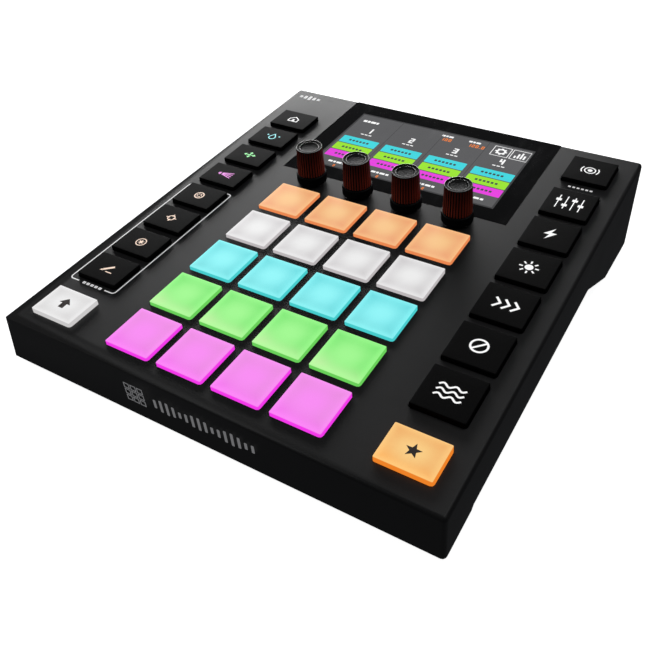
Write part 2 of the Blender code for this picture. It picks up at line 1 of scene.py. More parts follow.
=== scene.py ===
"""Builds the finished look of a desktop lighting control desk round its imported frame.

Lengths in this file are millimetres unless a name says otherwise. Everything on the sloping top is
placed in the panel frame: X to the right, Y from the front edge to the rear, Z out of the panel.
"""

import json
import math

import bmesh
import bpy
from bpy.props import FloatProperty, FloatVectorProperty, IntProperty, PointerProperty
from mathutils import Matrix, Vector

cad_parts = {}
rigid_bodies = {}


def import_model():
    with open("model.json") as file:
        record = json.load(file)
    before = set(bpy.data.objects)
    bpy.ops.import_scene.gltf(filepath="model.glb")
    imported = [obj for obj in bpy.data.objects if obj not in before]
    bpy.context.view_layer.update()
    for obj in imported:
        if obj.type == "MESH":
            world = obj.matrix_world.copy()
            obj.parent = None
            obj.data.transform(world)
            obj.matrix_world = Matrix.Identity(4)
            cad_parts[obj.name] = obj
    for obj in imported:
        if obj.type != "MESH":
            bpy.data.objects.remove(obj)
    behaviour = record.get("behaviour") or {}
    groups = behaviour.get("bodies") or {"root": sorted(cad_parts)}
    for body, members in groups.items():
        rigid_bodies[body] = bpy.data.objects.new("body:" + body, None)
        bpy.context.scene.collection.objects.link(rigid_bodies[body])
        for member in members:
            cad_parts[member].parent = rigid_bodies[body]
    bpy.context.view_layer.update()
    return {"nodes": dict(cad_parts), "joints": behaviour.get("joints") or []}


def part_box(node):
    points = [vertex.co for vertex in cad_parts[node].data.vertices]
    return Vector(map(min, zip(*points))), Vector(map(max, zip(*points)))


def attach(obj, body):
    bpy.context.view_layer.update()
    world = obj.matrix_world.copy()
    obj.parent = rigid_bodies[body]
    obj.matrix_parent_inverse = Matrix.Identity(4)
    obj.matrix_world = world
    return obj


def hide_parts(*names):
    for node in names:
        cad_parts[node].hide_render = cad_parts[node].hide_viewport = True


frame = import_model()

bl_info = {
    "name": "Lighting Control Desk",
    "version": (1, 0, 0),
    "blender": (4, 5, 0),
    "location": "View3D > Sidebar > Light Desk",
    "description": "Builds the pieces and finishes of a desktop lighting control desk",
    "category": "Object",
}

MM = 0.001

JOINTS = {joint["name"]: joint for joint in frame["joints"]}
OUTWARD = Vector(JOINTS["pad_row1_col1_press"]["axis"]).normalized()
RIGHTWARD = Vector((1.0, 0.0, 0.0))
REARWARD = OUTWARD.cross(RIGHTWARD).normalized()
KNOB_ROW = 144.2
KNOB_LINE = (
    Vector(JOINTS["spindle_1_turn"]["pos_m"]) + Vector(JOINTS["spindle_4_turn"]["pos_m"])
) / 2
PANEL_ORIGIN = KNOB_LINE - REARWARD * KNOB_ROW * MM
REAR_WALL_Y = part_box("top_shell")[1].y


def axes(right, up, out, origin):
    """The matrix of a frame with those three axes."""
    turn = Matrix((right, up, out)).transposed().to_4x4()
    return Matrix.Translation(origin) @ turn


PANEL = axes(RIGHTWARD, REARWARD, OUTWARD, PANEL_ORIGIN)
WORLD = Matrix.Identity(4)


def on_panel(x, y, z=0.0):
    return PANEL @ Matrix.Translation(Vector((x, y, z)) * MM)


def on_rear(x_metres, z_metres):
    """A frame on the upright rear wall, seen from behind: X right, Y up, Z out of the wall."""
    origin = Vector((x_metres, REAR_WALL_Y, z_metres))
    return axes(Vector((-1, 0, 0)), Vector((0, 0, 1)), Vector((0, 1, 0)), origin)


# Layout of the sloping top
PITCH = 25.9
FRONT_PAD_ROW = 20.2
PAD_SIZE = 21.3
PAD_PROUD = 1.5
KEY_WIDTH = 21.5
SHORT_KEY = 16.3
KEY_PROUD = 2.0
KEY_COLUMN = 80.0
CORNER_KEY_ROW = 17.7
TAP_KEY_ROW = 206.65
LOWEST_LEFT_KEY = 43.7
LEFT_KEY_PITCH = 21.0
FLANGE_OUT = 1.45
FLANGE_TOP = -2.8
FLANGE_BOTTOM = -3.8
PAD_ROWS = ("orange", "white", "cyan", "green", "magenta")
GLASS = (119.3, 77.0)
GLASS_TOP = -0.1
GLASS_THICK = 1.1
GLASS_CENTRE = 188.6
WINDOW = (99.6, 56.5)
WINDOW_CENTRE = 187.8


def pad_places():
    for row in range(5):
        for column in range(4):
            x = (column - 1.5) * PITCH
            y = FRONT_PAD_ROW + (4 - row) * PITCH
            yield f"pad_row{row + 1}_col{column + 1}", PAD_ROWS[row], x, y


def key_places():
    """Each key's node name, place and depth."""
    for number in range(8):
        y = LOWEST_LEFT_KEY + (7 - number) * LEFT_KEY_PITCH
        yield f"key_left_{number + 1}", -KEY_COLUMN, y, SHORT_KEY
    yield "key_left_9", -KEY_COLUMN, CORNER_KEY_ROW, SHORT_KEY
    yield "key_right_1", KEY_COLUMN, TAP_KEY_ROW, PAD_SIZE
    for number in range(6):
        y = FRONT_PAD_ROW + (6 - number) * PITCH
        yield f"key_right_{number + 2}", KEY_COLUMN, y, PAD_SIZE
    yield "key_right_8", KEY_COLUMN, CORNER_KEY_ROW, SHORT_KEY


def rounded(width, depth, corner, x=0.0, y=0.0, steps=4):
    """The outline of a rectangle with rounded corners, counter-clockwise."""
    points = []
    for quarter, (side, end) in enumerate(((1, 1), (-1, 1), (-1, -1), (1, -1))):
        for step in range(steps + 1):
            angle = math.radians(90.0 * (quarter + step / steps))
            across = side * (width / 2 - corner) + corner * math.cos(angle)
            along = end * (depth / 2 - corner) + corner * math.sin(angle)
            points.append((x + across, y + along))
    return points


def circle(radius, steps=32, x=0.0, y=0.0, turn=0.0):
    angles = [turn + math.tau * step / steps for step in range(steps)]
    return [(x + radius * math.cos(a), y + radius * math.sin(a)) for a in angles]


def squared(width, depth, corner, steps):
    """A rounded rectangle sampled at even angles, to join ring by ring with a circle."""
    points = []
    for angle in (math.tau * step / steps for step in range(steps)):
        low, high = 0.0, width + depth
        for _ in range(40):
            reach = (low + high) / 2
            over_x = abs(reach * math.cos(angle)) - width / 2 + corner
            over_y = abs(reach * math.sin(angle)) - depth / 2 + corner
            beyond = math.hypot(max(over_x, 0), max(over_y, 0)) + min(max(over_x, over_y), 0)
            low, high = (reach, high) if beyond < corner else (low, reach)
        points.append((low * math.cos(angle), low * math.sin(angle)))
    return points


def raised(outline, height):
    return [(x, y, height) for x, y in outline]


class Form:
    """The points and faces of one piece, in millimetres, with a finish number on each face."""

    def __init__(self):
        self.points = []
        self.faces = []
        self.marks = []
        self.mark = 0
        self.move = Matrix.Identity(4)

    def put(self, points):
        first = len(self.points)
        self.points.extend(self.move @ Vector(point) for point in points)
        return list(range(first, len(self.points)))

    def face(self, corners, mark=None):
        self.faces.append(corners)
        self.marks.append(self.mark if mark is None else mark)

    def skin(self, rings, looped=False, marks=None):
        """Joins rings of equal length, and closes the ends unless the last ring joins the first."""
        rows = [self.put(ring) for ring in rings]
        pairs = list(zip(rows, rows[1:])) + ([(rows[-1], rows[0])] if looped else [])
        for number, (low, high) in enumerate(pairs):
            mark = marks[number] if marks else None
            for k, corner in enumerate(low):
                n = (k + 1) % len(low)
                self.face([corner, low[n], high[n], high[k]], mark)
        if not looped:
            self.face(rows[0][::-1], marks[0] if marks else None)
            self.face(rows[-1], marks[-1] if marks else None)

    def prism(self, outline, low, high):
        self.skin([raised(outline, low), raised(outline, high)])

    def plate(self, outer, inner, low, high, edge=0.0):
        """A flat plate with a hole, its outer and inner outlines having as many points."""
        shrunk = [(x * (1 - edge / 40), y * (1 - edge / 30)) for x, y in outer]
        rings = [raised(outer, low), raised(outer, high - edge), raised(shrunk, high)]
        self.skin(rings + [raised(inner, high), raised(inner, low)], looped=True)

    def spin(self, profile, steps=48, ripple=None, marks=None, rib_mark=None):
        """Turns (radius, height) pairs round Z, from the axis to the axis or round a closed ring."""
        rows = []
        for radius, height in profile:
            if radius < 1e-6:
                rows.append(self.put([(0.0, 0.0, height)]) * steps)
                continue
            ring = []
            for step in range(steps):
                angle = math.tau * step / steps
                reach = radius + (ripple(step, height) if ripple else 0.0)
                ring.append((reach * math.cos(angle), reach * math.sin(angle), height))
            rows.append(self.put(ring))
        pairs = list(zip(rows, rows[1:]))
        if profile[0][0] > 1e-6:
            pairs.append((rows[-1], rows[0]))
        for number, (low, high) in enumerate(pairs):
            for k in range(steps):
                n = (k + 1) % steps
                corners = [low[k], low[n], high[n], high[k]]
                corners = [c for i, c in enumerate(corners) if c not in corners[:i]]
                mark = marks[number] if marks else None
                if rib_mark and mark == rib_mark[0] and rib_mark[2](k):
                    mark = rib_mark[1]
                if len(corners) > 2:
                    self.face(corners, mark)


class Ink(Form):
    """Flat marks of one thickness, each a closed shape."""

    def __init__(self, low, high):
        super().__init__()
        self.low = low
        self.high = high

    def patch(self, outline):
        self.prism(outline, self.low, self.high)

    def box(self, left, bottom, right, top, corner=0.0):
        x, y = (left + right) / 2, (bottom + top) / 2
        if corner:
            self.patch(rounded(right - left, top - bottom, corner, x, y))
        else:
            self.patch([(left, bottom), (right, bottom), (right, top), (left, top)])

    def disc(self, x, y, radius, steps=24):
        self.patch(circle(radius, steps, x, y))

    def line(self, points, width, closed=False):
        """A stroke along points, with mitred corners."""
        rings = []
        count = len(points)
        for k, here in enumerate(points):
            before = points[k - 1] if closed or k else None
            after = points[(k + 1) % count] if closed or k < count - 1 else None
            steps = []
            for start, end in ((before, here), (here, after)):
                if start is not None and end is not None:
                    steps.append((Vector(end) - Vector(start)).normalized())
            along = (steps[0] + steps[-1]).normalized()
            across = Vector((-along.y, along.x))
            spread = width / 2 / max(across.dot(Vector((-steps[0].y, steps[0].x))), 0.35)
            left = Vector(here) + across * spread
            right = Vector(here) - across * spread
            low, high = self.low, self.high
            rings.append([(*left, low), (*right, low), (*right, high), (*left, high)])
        self.skin(rings, looped=closed)

    def ring(self, x, y, radius, width, steps=32):
        self.line(circle(radius, steps, x, y), width, closed=True)

    def star(self, x, y, outer, inner, tips=5):
        points = []
        for k in range(2 * tips):
            radius = inner if k % 2 else outer
            angle = math.pi / 2 + math.pi * k / tips
            points.append((x + radius * math.cos(angle), y + radius * math.sin(angle)))
        self.patch(points)

    def digits(self, text, x, y, height, stroke):
        """Numbers made of seven bars each, centred on x and y."""
        lit = {
            "0": "abcdef", "1": "bc", "2": "abged", "3": "abgcd", "4": "fgbc",
            "5": "afgcd", "6": "afgedc", "7": "abc", "8": "abcdefg", "9": "abcdfg",
        }  # fmt: skip
        wide, gap = height * 0.52, height * 0.22
        widths = [stroke if letter == "." else wide for letter in text]
        left = x - (sum(widths) + gap * (len(text) - 1)) / 2
        top, low, half = y + height / 2, y - height / 2, stroke / 2
        for letter, cell in zip(text, widths):
            right = left + cell
            bars = {
                "a": (left, top - stroke, right, top),
                "b": (right - stroke, y + half, right, top - stroke),
                "c": (right - stroke, low + stroke, right, y - half),
                "d": (left, low, right, low + stroke),
                "e": (left, low + stroke, left + stroke, y - half),
                "f": (left, y + half, left + stroke, top - stroke),
                "g": (left, y - half, right, y + half),
            }
            if letter == ".":
                self.box(left, low, right, low + stroke)
            else:
                if "g" not in lit[letter]:
                    self.box(right - stroke, y - half, right, y + half)
                    if letter == "0":
                        self.box(left, y - half, left + stroke, y + half)
                for name in lit[letter]:
                    self.box(*bars[name])
                if letter in "17":
                    self.box(right - stroke, low, right, low + stroke)
                    self.box(right - stroke, top - stroke, right, top)
                if letter == "4":
                    self.box(right - stroke, low, right, low + stroke)
                    self.box(right - stroke, top - stroke, right, top)
                    self.box(left, top - stroke, left + stroke, top)
            left = right + gap


def weighted(obj):
    """Bakes face-weighted normals into the mesh, so that flat faces beside a fillet stay flat."""
    modifier = obj.modifiers.new("weighted_normals", "WEIGHTED_NORMAL")
    modifier.keep_sharp = True
    modifier.weight = 100
    graph = bpy.context.evaluated_depsgraph_get()
    baked = bpy.data.meshes.new_from_object(obj.evaluated_get(graph))
    obj.modifiers.clear()
    old = obj.data
    obj.data = baked
    bpy.data.meshes.remove(old)
    baked.name = obj.name


def mesh_of(name, form, merge=0.0):
    mesh = bpy.data.meshes.new(name)
    mesh.from_pydata([point * MM for point in form.points], [], form.faces)
    mesh.polygons.foreach_set("material_index", form.marks)
    bm = bmesh.new()
    bm.from_mesh(mesh)
    if merge:
        bmesh.ops.remove_doubles(bm, verts=bm.verts, dist=merge)
    bmesh.ops.recalc_face_normals(bm, faces=bm.faces)
    bm.to_mesh(mesh)
    bm.free()
    return mesh


def cut(mesh, cutters):
    """The mesh with each cutter form taken out of it."""
    scene = bpy.context.scene.collection
    body = bpy.data.objects.new("cut_body", mesh)
    scene.objects.link(body)
    tools = []
    for number, form in enumerate(cutters):
        tool = bpy.data.objects.new(f"cutter_{number}", mesh_of("cutter", form))
        scene.objects.link(tool)
        modifier = body.modifiers.new(tool.name, "BOOLEAN")
        modifier.object = tool
        modifier.solver = "EXACT"
        tools.append(tool)
    bpy.context.view_layer.update()
    graph = bpy.context.evaluated_depsgraph_get()
    made = bpy.data.meshes.new_from_object(body.evaluated_get(graph))
    for obj in (body, *tools):
        bpy.data.objects.remove(obj, do_unlink=True)
    return made


def settle(name, mesh, finishes, body, matrix=PANEL, nodes=(), crease=32.0):
    """Puts a finished mesh in the scene as a piece that rides on a body of the frame."""
    marks = [polygon.material_index for polygon in mesh.polygons]
    mesh.materials.clear()
    for finish in finishes:
        mesh.materials.append(finish)
    mesh.polygons.foreach_set("material_index", [min(m, len(finishes) - 1) for m in marks])
    mesh.shade_smooth()
    mesh.set_sharp_from_angle(angle=math.radians(crease))
    obj = bpy.data.objects.new(name, mesh)
    bpy.context.scene.collection.objects.link(obj)
    weighted(obj)
    obj.matrix_world = matrix
    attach(obj, body)
    if nodes:
        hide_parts(*nodes)
    return obj


def make_piece(name, form, finishes, body, matrix=PANEL, nodes=(), crease=32.0):
    return settle(name, mesh_of(name, form), finishes, body, matrix, nodes, crease)


def node_form(node):
    """The form of a node of the frame, in the world frame."""
    form = Form()
    mesh = frame["nodes"][node].data
    form.points = [vertex.co / MM for vertex in mesh.vertices]
    form.faces = [list(polygon.vertices) for polygon in mesh.polygons]
    form.marks = [0] * len(form.faces)
    return form


def smooth_copy(name, node, finish, body, crease=32.0):
    """A copy of a node with clean normals, which stands for it."""
    mesh = mesh_of(name, node_form(node), merge=1e-6)
    return settle(name, mesh, [finish], body, WORLD, (node,), crease)


def finish_node(node, finish):
    """Gives a node of the frame its finish and leaves its shape alone."""
    obj = frame["nodes"][node]
    for number in range(max(len(obj.material_slots), 1)):
        if number < len(obj.material_slots):
            obj.material_slots[number].material = finish
        else:
            obj.data.materials.append(finish)


# Finishes


class Value:
    """A socket of a finish's nodes. Arithmetic on it adds Math nodes."""

    def __init__(self, finish, socket):
        self.finish = finish
        self.socket = socket

    def work(self, operation, *others, flip=False):
        terms = (*others, self) if flip else (self, *others)
        settings = {"operation": operation}
        return self.finish.node("ShaderNodeMath", settings, dict(enumerate(terms)))

    def __add__(self, other):
        return self.work("ADD", other)

    __radd__ = __add__

    def __sub__(self, other):
        return self.work("SUBTRACT", other)

    def __rsub__(self, other):
        return self.work("SUBTRACT", other, flip=True)

    def __mul__(self, other):
        return self.work("MULTIPLY", other)

    __rmul__ = __mul__

    def __truediv__(self, other):
        return self.work("DIVIDE", other)

    def __pow__(self, other):
        return self.work("POWER", other)

    def __abs__(self):
        return self.work("ABSOLUTE")

    def least(self, other):
        return self.work("MINIMUM", other)

    def most(self, other):
        return self.work("MAXIMUM", other)

    def step(self, low, high):
        """0 below low, 1 above high, and a smooth rise between them."""
        settings = {"interpolation_type": "SMOOTHSTEP"}
        inputs = {"Value": self, "From Min": low, "From Max": high}
        return self.finish.node("ShaderNodeMapRange", settings, inputs)


class Finish:
    """A material made in code, on a Principled shader."""

    def __init__(self, name, **constants):
        self.material = bpy.data.materials.new(name)
        self.material.use_nodes = True
        self.tree = self.material.node_tree
        self.shader = self.tree.nodes["Principled BSDF"]
        for key, value in constants.items():
            self.shader.inputs[key.replace("_", " ")].default_value = value

    def node(self, kind, settings=None, inputs=None, output=0):
        made = self.tree.nodes.new(kind)
        for key, value in (settings or {}).items():
            setattr(made, key, value)
        for key, value in (inputs or {}).items():
            if isinstance(value, Value):
                self.tree.links.new(value.socket, made.inputs[key])
            else:
                made.inputs[key].default_value = value
        return Value(self, made.outputs[output])

    def feed(self, socket, value):
        self.tree.links.new(value.socket, self.shader.inputs[socket])

    def place(self):
        return self.node("ShaderNodeTexCoord", output="Object")

    def split(self, vector):
        """The three parts of a place, in millimetres."""
        parts = []
        for axis in "XYZ":
            part = self.node("ShaderNodeSeparateXYZ", inputs={"Vector": vector}, output=axis)
            parts.append(part * 1000.0)
        return parts

    def stretched(self, vector, scale):
        settings = {"operation": "MULTIPLY"}
        return self.node("ShaderNodeVectorMath", settings, {0: vector, 1: scale})

    def noise(self, vector, size, detail=2.0, rough=0.5):
        inputs = {"Vector": vector, "Scale": 1000.0 / size, "Detail": detail, "Roughness": rough}
        return self.node("ShaderNodeTexNoise", inputs=inputs)

    def cells(self, vector, size, feature="F1", distance="EUCLIDEAN"):
        settings = {"feature": feature}
        if feature != "DISTANCE_TO_EDGE":
            settings["distance"] = distance
        inputs = {"Vector": vector, "Scale": 1000.0 / size}
        return self.node("ShaderNodeTexVoronoi", settings, inputs, "Distance")

    def mix(self, share, first, second):
        settings = {"data_type": "RGBA"}
        return self.node("ShaderNodeMix", settings, {0: share, 6: first, 7: second}, 2)

    def scaled(self, colour, amount):
        settings = {"operation": "SCALE"}
        start = colour if isinstance(colour, Value) else tuple(colour)[:3]
        return self.node("ShaderNodeVectorMath", settings, {0: start, "Scale": amount})

    def bump(self, height, depth, strength=1.0):
        inputs = {"Height": height, "Distance": depth * MM, "Strength": strength}
        self.feed("Normal", self.node("ShaderNodeBump", inputs=inputs))


def rgba(colour):
    return (*colour, 1.0) if len(colour) == 3 else tuple(colour)


def tinted(colour, factor):
    return tuple(min(part * factor, 1.0) for part in colour[:3]) + (1.0,)


def moulded(name, colour, gloss, grain=0.25, depth=0.010, dust=0.35, **constants):
    """Moulded plastic: a fine grain, a faint cloudy sheen, handling marks and a little dust."""
    finish = Finish(name, **{"Specular_IOR_Level": 0.42, **constants})
    where = finish.place()
    fine = finish.noise(where, grain, 2.0)
    cloud = finish.noise(where, 22.0, 3.0)
    marks = finish.noise(finish.stretched(where, (1.0, 0.18, 1.0)), 1.1, 3.0, 0.7)
    specks = finish.noise(where, 0.55, 1.0).step(0.70, 0.76) * dust
    tone = (fine * 0.5 + cloud * 0.5).step(0.30, 0.70)
    base = finish.mix(tone, tinted(colour, 0.78), tinted(colour, 1.25))
    finish.feed("Base Color", finish.mix(specks, base, tinted(colour, 2.6)))
    worn = marks.step(0.62, 0.80) * 0.05
    finish.feed("Roughness", cloud * 0.12 + fine * 0.08 + (gloss - 0.10) - worn + specks * 0.2)
    finish.bump(fine * 0.7 + marks * 0.3, depth)
    return finish.material


def eroded(name, colour, gloss):
    """Textured base plastic, with the pebbled skin of an eroded mould."""
    finish = Finish(name, Specular_IOR_Level=0.35)
    where = finish.place()
    pebbles = finish.cells(where, 0.55)
    fine = finish.noise(where, 0.25, 2.0)
    cloud = finish.noise(where, 18.0, 3.0)
    tone = (pebbles * 0.6 + cloud * 0.4).step(0.20, 0.75)
    finish.feed("Base Color", finish.mix(tone, tinted(colour, 0.7), tinted(colour, 1.35)))
    finish.feed("Roughness", cloud * 0.10 + pebbles * 0.15 + (gloss - 0.08))
    finish.bump(pebbles * 0.8 + fine * 0.2, 0.05)
    return finish.material


def soft_rubber(name, colour, gloss=0.78):
    """Dull rubber with a fine skin and a dry bloom."""
    finish = Finish(name, Specular_IOR_Level=0.30)
    where = finish.place()
    skin = finish.noise(where, 0.18, 3.0, 0.6)
    bloom = finish.noise(where, 6.0, 4.0, 0.65)
    finish.feed(
        "Base Color",
        finish.mix(bloom.step(0.35, 0.75), tinted(colour, 0.8), tinted(colour, 1.6)),
    )
    finish.feed("Roughness", skin * 0.12 + bloom * 0.10 + (gloss - 0.10))
    finish.bump(skin, 0.02)
    return finish.material


def gloss_glass(name, colour):
    """Back-painted glass: a deep colour under a hard coat with a few wiped smears."""
    finish = Finish(name, Coat_Weight=0.25, Coat_Roughness=0.05, Specular_IOR_Level=0.30)
    where = finish.place()
    smear = finish.noise(finish.stretched(where, (1.0, 0.35, 1.0)), 16.0, 4.0, 0.6)
    specks = finish.noise(where, 0.45, 1.0).step(0.74, 0.79)
    finish.feed(
        "Base Color", finish.mix(specks * 0.4, tinted(colour, 1.0), tinted(colour, 6.0))
    )
    finish.feed("Roughness", smear.step(0.45, 0.75) * 0.10 + 0.07 + specks * 0.2)
    finish.bump(smear, 0.002)
    return finish.material


def screen_light(name, colour, strength, grid=0.12):
    """Part of the lit picture: fine cells of light, a little uneven from the lamp behind."""
    constants = {"Coat_Weight": 0.25, "Coat_Roughness": 0.05, "Emission_Strength": strength}
    finish = Finish(name, Base_Color=(0.006, 0.006, 0.007, 1.0), **constants)
    where = finish.place()
    x, y, _ = finish.split(where)
    columns = abs((x / grid).work("FRACT") - 0.5).step(0.30, 0.50)
    rows = abs((y / grid).work("FRACT") - 0.5).step(0.34, 0.50)
    lamp = finish.noise(where, 38.0, 2.0)
    level = (1.0 - columns.most(rows) * 0.14) * (lamp * 0.16 + 0.92)
    finish.feed("Emission Color", finish.scaled(rgba(colour), level))
    smear = finish.noise(finish.stretched(where, (1.0, 0.35, 1.0)), 16.0, 4.0, 0.6)
    finish.feed("Roughness", smear.step(0.45, 0.75) * 0.10 + 0.10)
    return finish.material


def lit_ink(name, colour, strength):
    """Light through a mark cut in a painted key, a little uneven in brightness."""
    finish = Finish(name, Base_Color=(0.02, 0.02, 0.02, 1.0), Emission_Strength=strength)
    where = finish.place()
    fine = finish.noise(where, 0.20, 2.0)
    cloud = finish.noise(where, 5.0, 2.0)
    level = (fine * 0.2 + cloud * 0.25 + 0.75).least(1.0)
    finish.feed("Emission Color", finish.scaled(rgba(colour), level))
    finish.feed("Roughness", fine * 0.2 + 0.35)
    return finish.material


def lit_cap(name, size, heart, rim, front, side, strength, top):
    """Frosted plastic lit by one lamp under its middle: brightest there, deeper to the edges. Painted
    light too: painted reflected light shifts the edge colour towards the front, and a painted highlight
    runs along the top edge.
    """
    finish = Finish(name, Emission_Strength=strength, Specular_IOR_Level=0.22)
    where = finish.place()
    x, y, z = finish.split(where)
    reach = ((x / size[0]) ** 2.0 + (y / size[1]) ** 2.0) ** 0.5 * 2.0
    frost = finish.noise(where, 0.30, 2.0)
    cloud = finish.noise(where, 4.5, 2.0)
    lamp = 1.0 - (reach + (cloud - 0.5) * 0.18).step(0.10, 1.32)
    # Painted reflected light: towards the front and left the edge glow shifts to the front colour,
    # standing in for light reflected on the top.
    painted_front_light = (0.0 - y / size[1] - x / size[0] * 0.25 + 0.12).step(0.10, 0.72)
    colour = finish.mix(painted_front_light, rgba(rim), rgba(front))
    colour = finish.mix(lamp, colour, rgba(heart))
    lid = z.step(top - 0.42, top - 0.10)
    colour = finish.mix(lid, rgba(side), colour)
    # A painted highlight: a lighter line on the rounded top edge of the cap.
    painted_edge_highlight = z.step(top - 0.30, top - 0.20) * (1.0 - z.step(top - 0.06, top - 0.01))
    colour = finish.mix(painted_edge_highlight * 0.55, colour, tinted(heart, 1.15))
    finish.feed("Emission Color", finish.scaled(colour, frost * 0.16 + 0.92))
    body = finish.mix(frost, tinted(heart, 0.16), tinted(rim, 0.24))
    finish.feed("Base Color", body)
    finish.feed("Roughness", frost * 0.14 + 0.42)
    finish.bump(frost, 0.012)
    return finish.material


def ribbed_grip(name, colour):
    """The knob's ribbed sleeve, with painted light from the pads below: dark at its top, lighter and
    warmer towards its foot.
    """
    finish = Finish(name, Specular_IOR_Level=0.16)
    where = finish.place()
    _, _, z = finish.split(where)
    fine = finish.noise(where, 0.22, 2.0)
    cloud = finish.noise(where, 3.0, 2.0)
    # Painted pad light: the lower part of the sleeve is painted lighter and warmer, where the lit pads
    # below would shine on it.
    low = 1.0 - (z + (cloud - 0.5) * 3.0).step(6.0, 19.5)
    base = finish.mix(low, tinted(colour, 0.35), tinted(colour, 1.20))
    finish.feed("Base Color", finish.mix(fine * 0.3, base, tinted(colour, 0.6)))
    finish.feed("Roughness", fine * 0.15 + cloud * 0.1 + 0.42)
    finish.bump(fine, 0.012)
    return finish.material


def turned_metal(name, colour, gloss, grain=(1.0, 1.0, 9.0), size=0.4):
    """Turned or rolled metal with fine lines, tarnish and small scratches."""
    finish = Finish(name, Metallic=1.0)
    where = finish.place()
    lines = finish.noise(finish.stretched(where, grain), size, 3.0, 0.6)
    tarnish = finish.noise(where, 5.0, 4.0, 0.6)
    base = finish.mix(tarnish.step(0.40, 0.80), rgba(colour), tinted(colour, 0.72))
    finish.feed("Base Color", finish.mix(lines * 0.3, base, tinted(colour, 1.12)))
    finish.feed("Roughness", lines * 0.16 + tarnish * 0.12 + (gloss - 0.12))
    finish.bump(lines, 0.006)
    return finish.material


def circuit_board(name, mask, copper):
    """Solder mask over copper: raised square tracks, plated holes and a satin skin."""
    finish = Finish(name, Coat_Weight=0.3, Coat_Roughness=0.2)
    where = finish.place()
    tracks = finish.cells(where, 3.4, distance="CHEBYCHEV")
    lines = abs((tracks * 6.0).work("FRACT") - 0.5).step(0.30, 0.38)
    holes = 1.0 - finish.cells(where, 5.2).step(0.09, 0.11)
    cloud = finish.noise(where, 12.0, 2.0)
    base = finish.mix(lines, tinted(mask, 0.8), tinted(mask, 1.5))
    finish.feed("Base Color", finish.mix(holes, base, rgba(copper)))
    finish.feed("Roughness", cloud * 0.15 + 0.32)
    finish.bump(lines, 0.03)
    return finish.material


def printed_ink(name, colour, dark, glow=0.0):
    """Screen-printed ink: slightly thin in places, with the plastic's grain under it. A glow above zero
    is painted light: the ink shines by its own emission, though it is no lamp.
    """
    finish = Finish(name, Specular_IOR_Level=0.35, Emission_Strength=glow)
    where = finish.place()
    thin = finish.noise(where, 0.35, 3.0, 0.7)
    fine = finish.noise(where, 0.20, 2.0)
    base = finish.mix(thin.step(0.62, 0.80) * 0.5, rgba(colour), rgba(dark))
    finish.feed("Base Color", base)
    # Painted light: the ink's own colour fed to emission, so it glows without a lamp.
    if glow:
        finish.feed("Emission Color", base)
    finish.feed("Roughness", fine * 0.2 + 0.40)
    finish.bump(fine, 0.006)
    return finish.material


# Sizes and colours that a user may change


def length(name, text, default):
    return FloatProperty(name=name, description=text, default=default * MM, unit="LENGTH")


def colour(name, text, default):
    settings = {"subtype": "COLOR", "size": 3, "min": 0.0, "max": 1.0}
    return FloatVectorProperty(name=name, description=text, default=default, **settings)


class DeskSizes(bpy.types.PropertyGroup):
    ribs: IntProperty(name="Ribs", description="Ribs round each knob", default=32)
    rib_depth: length("Rib depth", "Depth of the groove between two ribs", 0.50)
    cap_corner: length("Cap corner", "Corner radius of pads and keys", 0.4)
    cap_edge: length("Cap edge", "Radius of the edge round the top of pads and keys", 0.28)
    ink: length("Ink height", "How far printed marks stand above their surface", 0.02)
    frame_line: length("Frame line", "Width of the line round the group of keys", 0.6)
    glass_edge: length("Glass edge", "Bevel round the display glass", 0.25)
    lens: FloatProperty(name="Lens", description="Focal length of the camera", default=44.04)


class DeskColours(bpy.types.PropertyGroup):
    case: colour("Case", "Satin plastic of the case", (0.012, 0.012, 0.0124))
    base: colour("Base", "Textured plastic of the base", (0.010, 0.010, 0.011))
    key: colour("Key", "Painted plastic of the dark keys", (0.0025, 0.0025, 0.0027))
    rib: colour("Ribs", "Ribbed sleeve of the knobs", (0.480, 0.065, 0.032))
    skirt: colour("Skirt", "Foot and top of the knobs", (0.0045, 0.0045, 0.0050))
    print: colour("Print", "White ink on the panel", (0.80, 0.80, 0.80))
    faint: colour("Faint print", "Grey ink on the front edge", (0.16, 0.16, 0.165))
    screen: colour("Screen", "Background of the picture", (0.112, 0.112, 0.116))
    floor: colour("Floor", "Floor under the desk", (0.86, 0.86, 0.86))


# Light of each pad colour: middle, edges, front edges (painted reflected light), sides and strength
PAD_LIGHT = {
    "orange": ((0.88, 0.53, 0.24), (0.78, 0.32, 0.15), (0.76, 0.30, 0.15), (0.82, 0.24, 0.08), 1.0),
    "white": ((0.80, 0.80, 0.80), (0.52, 0.50, 0.51), (0.56, 0.54, 0.55), (0.50, 0.47, 0.48), 1.0),
    "cyan": ((0.26, 0.86, 0.88), (0.10, 0.61, 0.65), (0.16, 0.64, 0.66), (0.06, 0.60, 0.60), 1.0),
    "green": ((0.33, 0.88, 0.26), (0.15, 0.70, 0.13), (0.56, 0.80, 0.38), (0.14, 0.62, 0.10), 1.0),
    "magenta": ((0.88, 0.24, 0.84), (0.74, 0.24, 0.66), (0.84, 0.14, 0.80), (0.90, 0.04, 0.82), 1.0),
}
# Lit keys in the same columns; their front edges again carry painted reflected light.
KEY_LIGHT = {
    "key_left_9": ((0.80, 0.80, 0.80), (0.60, 0.59, 0.59), (0.62, 0.61, 0.61), (0.58, 0.57, 0.57), 1.0),
    "key_right_8": ((0.90, 0.58, 0.22), (0.78, 0.36, 0.11), (0.92, 0.40, 0.09), (0.84, 0.22, 0.02), 1.0),
}
LEGEND_LIGHT = {
    "white": ((1.0, 1.0, 1.0), 0.95),
    "cyan": ((0.34, 0.95, 1.0), 0.90),
    "green": ((0.36, 1.0, 0.42), 0.90),
    "magenta": ((1.0, 0.34, 0.94), 0.90),
    "warm": ((1.0, 0.77, 0.62), 0.95),
}


# Pieces


